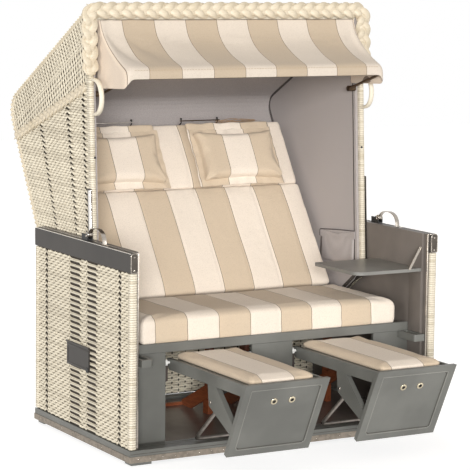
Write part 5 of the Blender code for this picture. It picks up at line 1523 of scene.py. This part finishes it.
def build_footrest_trims():
    """The footrests' rosettes, panel groove and bead, edging and pivot bolts."""
    out = (0, -math.cos(PANEL_LEAN), -math.sin(PANEL_LEAN))
    sides = 28
    for word, side in SIDES:
        centre = side * 0.2635
        for hand in (-1, 1):
            y, z = panel_place(0.081, -0.0030)
            place = (centre + hand * 0.0355, Y(y), z)
            ring = [(0.0068, -0.001), (0.0128, -0.001), (0.0134, 0.0006), (0.0122, 0.0026), (0.0098, 0.0034),
                    (0.0068, 0.0022)]
            points, faces = lathe_part(ring, place, out, sides)
            faces = [face for face in faces if len(face) == 4]
            last = (len(ring) - 1) * sides
            faces += [(last + i, last + (i + 1) % sides, (i + 1) % sides, i) for i in range(sides)]
            tag = "a" if hand < 0 else "b"
            fitted(f"rosette_{tag}_{word}", [(points, faces)], BRASS_METAL, f"footrest_{word}", 60)
            hub = [lathe_part([(0.0064, -0.001), (0.0064, 0.0010), (0.0042, 0.0014), (0.0034, -0.0040), (0, -0.0042)],
                              place, out, 24)]
            fitted(f"rosette_hub_{tag}_{word}", hub, BLACK, f"footrest_{word}", 60)
        # A groove round the panel's sunk field, drawn as a dark line of painted shade, and a bead on its edge in a
        # paler paint as a painted highlight
        half, length, margin = 0.1645, 0.3045, 0.030
        for name, inset, proud, profile, material in (
                ("groove", margin - 0.0006, -0.0022, ellipse(0.0011, 0.0009, 8), SHADE_CORE),
                ("bead", margin - 0.0034, 0.0001, ellipse(0.0019, 0.0013, 10), HIGHLIGHT_PAINT)):
            corners = []
            for x, down in ((-half + inset, inset), (half - inset, inset), (half - inset, length - inset),
                            (-half + inset, length - inset), (-half + inset, inset)):
                y, z = panel_place(down, proud)
                corners.append((centre + x, Y(y), z))
            path = even(corners, 0.02)[0]
            line = sweep(path, np.repeat([out], len(path), 0), profile)
            fitted(f"panel_{name}_{word}", [line], material, f"footrest_{word}", 60)
        # Side rails' upper edging beside the pad
        for hand in (-1, 1):
            edge = centre + hand * 0.1525
            top = [box_part((edge - 0.0058, Y(-0.425), 0.3432), (edge + 0.0058, Y(0.138), 0.3452), 0.0008)]
            fitted(f"footrest_edge_{'a' if hand < 0 else 'b'}_{word}", top, PAINT, f"footrest_{word}")
        # Pivot bolts of the stay
        parts = []
        for hand in (-1, 1):
            x = centre + hand * 0.1560
            parts.append(dome((x, Y(-0.172), 0.242), (hand, 0, 0), 0.0062, 0.0028))
        fitted(f"stay_bolts_{word}", parts, STEEL, f"footrest_{word}", 60)


# The stays' tube: the solids' radius, half the width between its legs, and the sleeve's radius
STAY_PIPE, STAY_LEG, STAY_SLEEVE = 0.005, 0.100, 0.0068


def build_stay_sleeves():
    """The stays' bent tube at its full thickness, below the pivots in the footrest frames."""
    for word, _ in SIDES:
        low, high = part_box(f"footrest_stay_{word}")
        middle = (low[0] + high[0]) / 2
        top = np.array((low[1] + STAY_PIPE, high[2] - STAY_PIPE))
        foot = np.array((high[1] - STAY_PIPE, low[2] + STAY_PIPE))
        half = [(-STAY_LEG, 0.13), (-STAY_LEG, 0.90), (0.004 - STAY_LEG, 0.985), (0.022 - STAY_LEG, 1.0)]
        path = [(x, *(top + (foot - top) * share)) for x, share in half + [(-x, share) for x, share in half[::-1]]]
        line = even([(middle + x, y, z) for x, y, z in path], 0.006)[0]
        sleeve = sweep(line, np.repeat([[0.0, 0.55, 0.83]], len(line), 0), ellipse(STAY_SLEEVE, STAY_SLEEVE, 14))
        fitted(f"stay_sleeve_{word}", [sleeve], TUBE_STEEL, f"stay_{word}", 60)


def build_hood_trims():
    """Bindings, nails, piping and seams of the lining, and the lock strips' faces."""
    for word, side in SIDES:
        face = side * (LINING_IN - 0.0004)
        # A dark binding along the lining's lower edge, with nails, and a dark strip of painted shade up the post's
        # edge
        skirt = rounded_path([(0.418, 0.556), (0.455, 0.5255), (0.519, 0.4805), (0.590, 0.4195), (0.660, 0.393)],
                             0.02, 5)
        path, _ = even([(face, Y(y), z) for y, z in skirt], 0.012)
        fitted(f"skirt_binding_{word}", [strip_along(path, (1, 0, 0), 0.015, 0.0030)], RAIL_PAINT, "hood")
        nails = [dome((face - side * 0.0012, *point[1:]), (-side, 0, 0), 0.0022, 0.0012) for point in path[2::3]]
        fitted(f"skirt_nails_{word}", nails, STEEL, "hood", 60)
        line = [(face, Y(post_y(z) + POST_DEPTH + 0.004), z) for z in (0.570, 1.290)]
        fitted(f"lining_edge_{word}", [strip_along(line, (1, 0, 0), 0.0045, 0.0022)], SHADE_CORE, "hood")
        # Piping where the lining's side meets its back
        corner = [(side * (LINING_IN - 0.0028), Y(y), z) for y, z in hood_path(0.0412, 0.06)]
        fitted(f"lining_piping_{word}", [wrapped_tube(corner, (1, 0, 0), 0.0040, 0.0040, 0.008, 0.0003, 8)],
               LINING_DARK, "hood", 60)
        stud_z = 1.043
        stud = [dome((side * 0.574, Y(post_y(stud_z) + 0.0004), stud_z), (0, -1, 0), 0.0045, 0.0026)]
        fitted(f"post_stud_{word}", stud, BLACK, "hood", 60)
        # The lock strip's bright face
        strip_low, strip_high = 0.600, 0.930
        line = [(side * 0.5940, Y(post_y(z) + 0.0110), z) for z in (strip_low + 0.003, strip_high - 0.006)]
        fitted(f"lock_strip_face_{word}", [strip_along(line, (side, 0, 0), 0.0190, 0.0024)], BRIGHT, "hood")
    # A seam across the lining's back
    z = 1.205
    y = BACK_POINT[0] + (z - BACK_POINT[1]) * math.tan(BACK_SLOPE) - 0.0392 / math.cos(BACK_SLOPE)
    line = [(-0.552, Y(y), z), (0.552, Y(y), z)]
    fitted("lining_seam_0", [strip_along(line, (0, -1, 0), 0.0024, 0.0012)], LINING_DARK, "hood")


def back_line(places, step=0.004):
    """A path through (x, up the back, out of it) places."""
    return even([back_place(np.array([place]))[0] for place in places], step)[0]


HOOK_PLACES = {"left": (-0.318, -0.156), "right": (0.066, 0.230)}
HOOK_CREST = 0.3465  # up the back, where the hooks pass over the backrest
TIE_SPAN, TIE_COUNT = (0.226, 0.404), 5


def build_hooks():
    """Hook arms over the backrest's top, with a rod and the ties of the neck pillows on them."""
    crest = HOOK_CREST
    for word, places in HOOK_PLACES.items():
        parts = []
        for x in places:
            path = back_line([(x, crest, 0.0005), (x, crest, 0.104), (x, crest + 0.004, 0.110),
                              (x, crest + 0.015, 0.111)])
            parts.append(sweep(path, np.repeat([[1.0, 0, 0]], len(path), 0), ellipse(0.0026, 0.0022, 10)))
            tip = back_place(np.array([[x, crest + 0.015, 0.111]]))[0]
            parts.append(lathe_part([(0, -0.0045), (0.0034, -0.003), (0.0045, 0), (0.0034, 0.003), (0, 0.0045)], tip,
                                    (0, 0, 1), 12))
        fitted(f"pillow_hooks_{word}", parts, BLACK, "hood", 60)
    for word, low, high, material in (("left", -0.340, -0.150, TRIM_METAL), ("right", 0.058, 0.238, BROWN_METAL)):
        path = back_line([(low, crest + 0.005, 0.113), (high, crest + 0.005, 0.113)], 0.02)
        rod = sweep(path, np.repeat([[0, 0.2, 1.0]], len(path), 0), ellipse(0.0022, 0.0022, 10))
        fitted(f"pillow_rod_{word}", [rod], material, "hood", 60)
    ties = []
    for index in range(TIE_COUNT):
        places = np.linspace(*TIE_SPAN, 26)
        wave = np.sin(places * 46 + index * 1.7)
        lift = crest - 0.0015 + 0.0024 * index + 0.0034 * wave * np.minimum(1.0, (places - TIE_SPAN[0]) / 0.05)
        out = 0.106 + 0.004 * np.cos(places * 33 + index * 2.1) - 0.0022 * (index % 3)
        path = back_line(np.stack([places, lift, out], axis=1))
        ties.append(sweep(path, np.repeat([[0, 0.2, 1.0]], len(path), 0), ellipse(0.0030, 0.0014, 8)))
    fitted("pillow_ties", ties, TIE_CORD, "hood", 60)


LOCK_PIN, LOCK_PLANE = (0.372, 0.768), 0.624
FLAP_FACE = (0.325, 0.515, 0.279, 0.3595)  # from and to along Y, then from and to in height


def build_latches():
    """The flaps' frames and latches, and the lock bows with their bolts and plates."""
    for word, side in SIDES:
        # A raised frame on the flap and its small latch
        face = ARM_OUT + 0.0003 + 0.0030
        y0, y1, z0, z1 = FLAP_FACE
        parts = []
        for low, high in (((y0 + 0.004, z0 + 0.003), (y1 - 0.004, z0 + 0.009)),
                          ((y0 + 0.004, z1 - 0.010), (y1 - 0.004, z1 - 0.004)),
                          ((y0 + 0.004, z0 + 0.009), (y0 + 0.010, z1 - 0.010)),
                          ((y1 - 0.010, z0 + 0.009), (y1 - 0.004, z1 - 0.010))):
            x = sorted((side * face, side * (face + 0.0012)))
            parts.append(box_part((x[0], Y(low[0]), low[1]), (x[1], Y(high[0]), high[1]), 0.0003))
        fitted(f"flap_frame_{word}", parts, RAIL_PAINT, f"flap_{word}")
        x = sorted((side * face, side * (face + 0.0030)))
        latch = [box_part((x[0], Y(y0 + 0.003), z0 - 0.004), (x[1], Y(y0 + 0.022), z0 + 0.013), 0.0008)]
        fitted(f"flap_latch_{word}", latch, BLACK, f"flap_{word}")
        # Bolt heads at both ends of the lock bow's pin
        pin = [dome((side * (0.6313 + 0.0040), Y(LOCK_PIN[0]), LOCK_PIN[1]), (side, 0, 0), 0.0050, 0.0028),
               dome((side * (0.6167 - 0.0040), Y(LOCK_PIN[0]), LOCK_PIN[1]), (-side, 0, 0), 0.0050, 0.0028)]
        fitted(f"bracket_bolts_{word}", pin, STEEL, "base", 60)
        # The lock bow as a broad strap, from its pin over the arch down to the rail
        arch = rounded_path([LOCK_PIN, (0.350, 0.798), (0.290, 0.804), (0.250, 0.787), (0.243, 0.7515)], 0.024, 8)
        path, _ = even([(side * LOCK_PLANE, Y(y), z) for y, z in arch], 0.003)
        normals = np.cross(np.gradient(path, axis=0), (1.0, 0, 0))
        barrel = lathe_part([(0.0098, -0.0096), (0.0108, -0.0088), (0.0108, 0.0088), (0.0098, 0.0096)],
                            (side * LOCK_PLANE, Y(LOCK_PIN[0]), 0.7720), (1, 0, 0), 24)
        strap = fitted(f"lock_strap_{word}", [sweep(path, normals, ellipse(0.0085, 0.0013, 12, 6.0)), barrel], STEEL,
                       f"lock_bow_body_{word}", 60)
        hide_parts(f"lock_bow_{word}")
        # A bright plate under each lock bow, on the rail
        x = sorted((side * 0.6170, side * 0.6310))
        plate = [box_part((x[0], Y(0.215), 0.7492), (x[1], Y(0.262), 0.7506), 0.0004)]
        fitted(f"lock_plate_{word}", plate, STEEL, "base")


def build_inner_rear():
    """The rear wall's inner face, with a dark core of painted shade between the two skins."""
    half = REAR_HIGH[0] - 0.002

    def place_at(u, out, v):
        return u, REAR_LOW[1] + 0.0045 - out, REAR_LOW[2] + v

    inner = woven("rear_weave_inner", [("dense", -half, half, 0.030)], REAR_HIGH[2] - REAR_LOW[2], place_at, seed=13,
                  step=0.3)
    core = mesh_piece("rear_shade_core", [box_part((-half, REAR_LOW[1] + 0.0085, REAR_LOW[2] + 0.001),
                                             (half, REAR_LOW[1] + 0.0100, REAR_HIGH[2] - 0.001))], SHADE_CORE)
    for piece in (inner, core):
        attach(piece, "base")


def build_seam(seam):
    """Stitches along a seam, each a short thread."""
    parts = []
    for low, high in zip(seam, seam[1:]):
        a, b = np.array(low), np.array(high)
        middle, way = (a + b) / 2, (b - a) * 0.34
        path = np.array([middle - way, middle, middle + way])
        parts.append(sweep(path, np.repeat([[0.0, -1.0, 0.0]], 3, 0), ellipse(0.0007, 0.0005, 6)))
    fitted("awning_stitches", parts, SEAM_THREAD, "bow_body", 60)


# Camera, light and floor


def build_camera():
    """The camera as fitted to the photograph."""
    data = bpy.data.cameras.new("camera")
    data.lens, data.sensor_width = CAMERA_LENS, 36.0
    camera = linked("camera", data)
    view = -Vector((math.sin(CAMERA_TURN) * math.cos(CAMERA_RISE), -math.cos(CAMERA_TURN) * math.cos(CAMERA_RISE),
                    math.sin(CAMERA_RISE)))
    right = view.cross(Vector((0, 0, 1))).normalized()
    up = right.cross(view)
    roll = CAMERA_ROLL
    x = right * math.cos(roll) + up * math.sin(roll)
    y = -right * math.sin(roll) + up * math.cos(roll)
    matrix = Matrix((x, y, -view)).transposed().to_4x4()
    matrix.translation = CAMERA_PLACE
    camera.matrix_world = matrix
    bpy.context.scene.camera = camera


def seen_directly(tree):
    """1 where the camera sees it, also in a reflection or through a clear piece, and 0 elsewhere."""
    path = tree.add("ShaderNodeLightPath").outputs
    return tree.math("MAXIMUM", path["Is Camera Ray"], tree.math("MAXIMUM", path["Is Glossy Ray"],
                                                                path["Is Transmission Ray"]))


SKY_LOW, SKY_HIGH = (0.80, 0.77, 0.74), (0.50, 0.455, 0.405)
SKY_STRENGTH = 0.76
LIGHT_AIM = Vector((0, 0, 0.8))
# Each light's name, kind, place, angle or diameter, and power
LIGHTS = (("front", "SUN", (-2.9, -5.6, 1.6), math.radians(16), 2.75),
          ("left", "AREA", (-4.6, -1.4, 1.7), 2.0, 44.0),
          ("right", "AREA", (2.6, -5.2, 1.3), 2.0, 40.0),
          ("back", "AREA", (1.6, 4.8, 2.0), 2.4, 90.0))


def build_light():
    """A white ground for the camera, soft sky light, one low sun and three soft lamps."""
    world = bpy.data.worlds.new("studio")
    bpy.context.scene.world = world
    world.use_nodes = True
    tree = Tree(world.node_tree)
    world.node_tree.nodes.clear()
    way = tree.add("ShaderNodeTexCoord").outputs["Generated"]
    height = tree.add("ShaderNodeSeparateXYZ", {"Vector": way}).outputs[2]
    sky = tree.mix(smoothly(tree, height, -0.1, 0.8), SKY_LOW, SKY_HIGH)
    ambient = tree.add("ShaderNodeBackground", {"Color": sky, "Strength": SKY_STRENGTH})
    white = tree.add("ShaderNodeBackground", {"Color": (1, 1, 1, 1), "Strength": 1.0})
    mixed = tree.add("ShaderNodeMixShader", {0: seen_directly(tree), 1: ambient, 2: white})
    tree.add("ShaderNodeOutputWorld", {"Surface": mixed})
    for name, kind, place, size, power in LIGHTS:
        data = bpy.data.lights.new(name, kind)
        data.energy = power
        if kind == "SUN":
            data.angle = size
        else:
            data.shape, data.size = "DISK", size
        light = linked(name, data)
        light.location = place
        light.rotation_euler = (LIGHT_AIM - Vector(place)).to_track_quat("-Z", "Y").to_euler()


FLOOR_GLOW, FLOOR_SEEN_GLOW = 0.12, 0.66


def build_floor():
    """A pale floor that takes the shadow, attached to no body."""
    mesh = bpy.data.meshes.new("floor")
    reach = 12.0
    corners = [(-reach, -reach, 0), (reach, -reach, 0), (reach, reach, 0), (-reach, reach, 0)]
    mesh.from_pydata(corners, [], [(0, 1, 2, 3)])
    floor = linked("floor", mesh)
    floor.location.z = -0.0005
    pale, tree, shader, _ = new_material("pale_floor", 0.9)
    shader.inputs["Base Color"].default_value = (0.42, 0.42, 0.415, 1)
    shader.inputs["Emission Color"].default_value = (1, 1, 1, 1)
    glow = tree.math("ADD", FLOOR_GLOW, tree.math("MULTIPLY", seen_directly(tree), FLOOR_SEEN_GLOW))
    tree.feed(shader.inputs["Emission Strength"], glow)
    mesh.materials.append(pale)


build_camera()
build_light()
build_floor()
for side_word, side_sign in SIDES:
    build_arm(side_word, side_sign)
    build_hood_side(side_word, side_sign)
build_rear()
build_hood_cover()
build_rim()
build_posts()
build_seat_cushion()
build_backrest()
build_pillows()
build_footrest_pads()
AWNING_SEAM = build_awning()
build_seam(AWNING_SEAM)
build_pocket()
build_nails()
build_sill()
build_boards()
build_footrest_trims()
build_stay_sleeves()
build_hood_trims()
build_hooks()
build_latches()
build_inner_rear()

dress(TRAY_PAINT, "tray")
dress(PAINT, "base_sill", "seat_front_rail", "plank_left", "plank_centre", "plank_right", *pair("arm_board"),
      *pair("holder"), *pair("footrest_frame"), *pair("footrest_panel"))
dress(RAIL_PAINT, "rear_rail", *pair("arm_rail"), *pair("carry_flap"))
dress(FLOOR_PAINT, "base_floor", "seat_board")
dress(STEEL, "tray_stay", *pair("footrest_stay"), *pair("lock_bow"))
dress(DARK_STEEL, *pair("arm_cap"), *pair("lock_strip"))
dress(STRIP, "base_strip")
dress(GUIDE, *pair("footrest_guide"))
dress(LINING, "lining_back", *pair("lining"))
dress(BROWN_METAL, "awning_bow")
dress(NYLON, *pair("axle"))
dress(BLACK, *pair("lock_bracket"))

bpy.context.scene.view_settings.view_transform = "Standard"
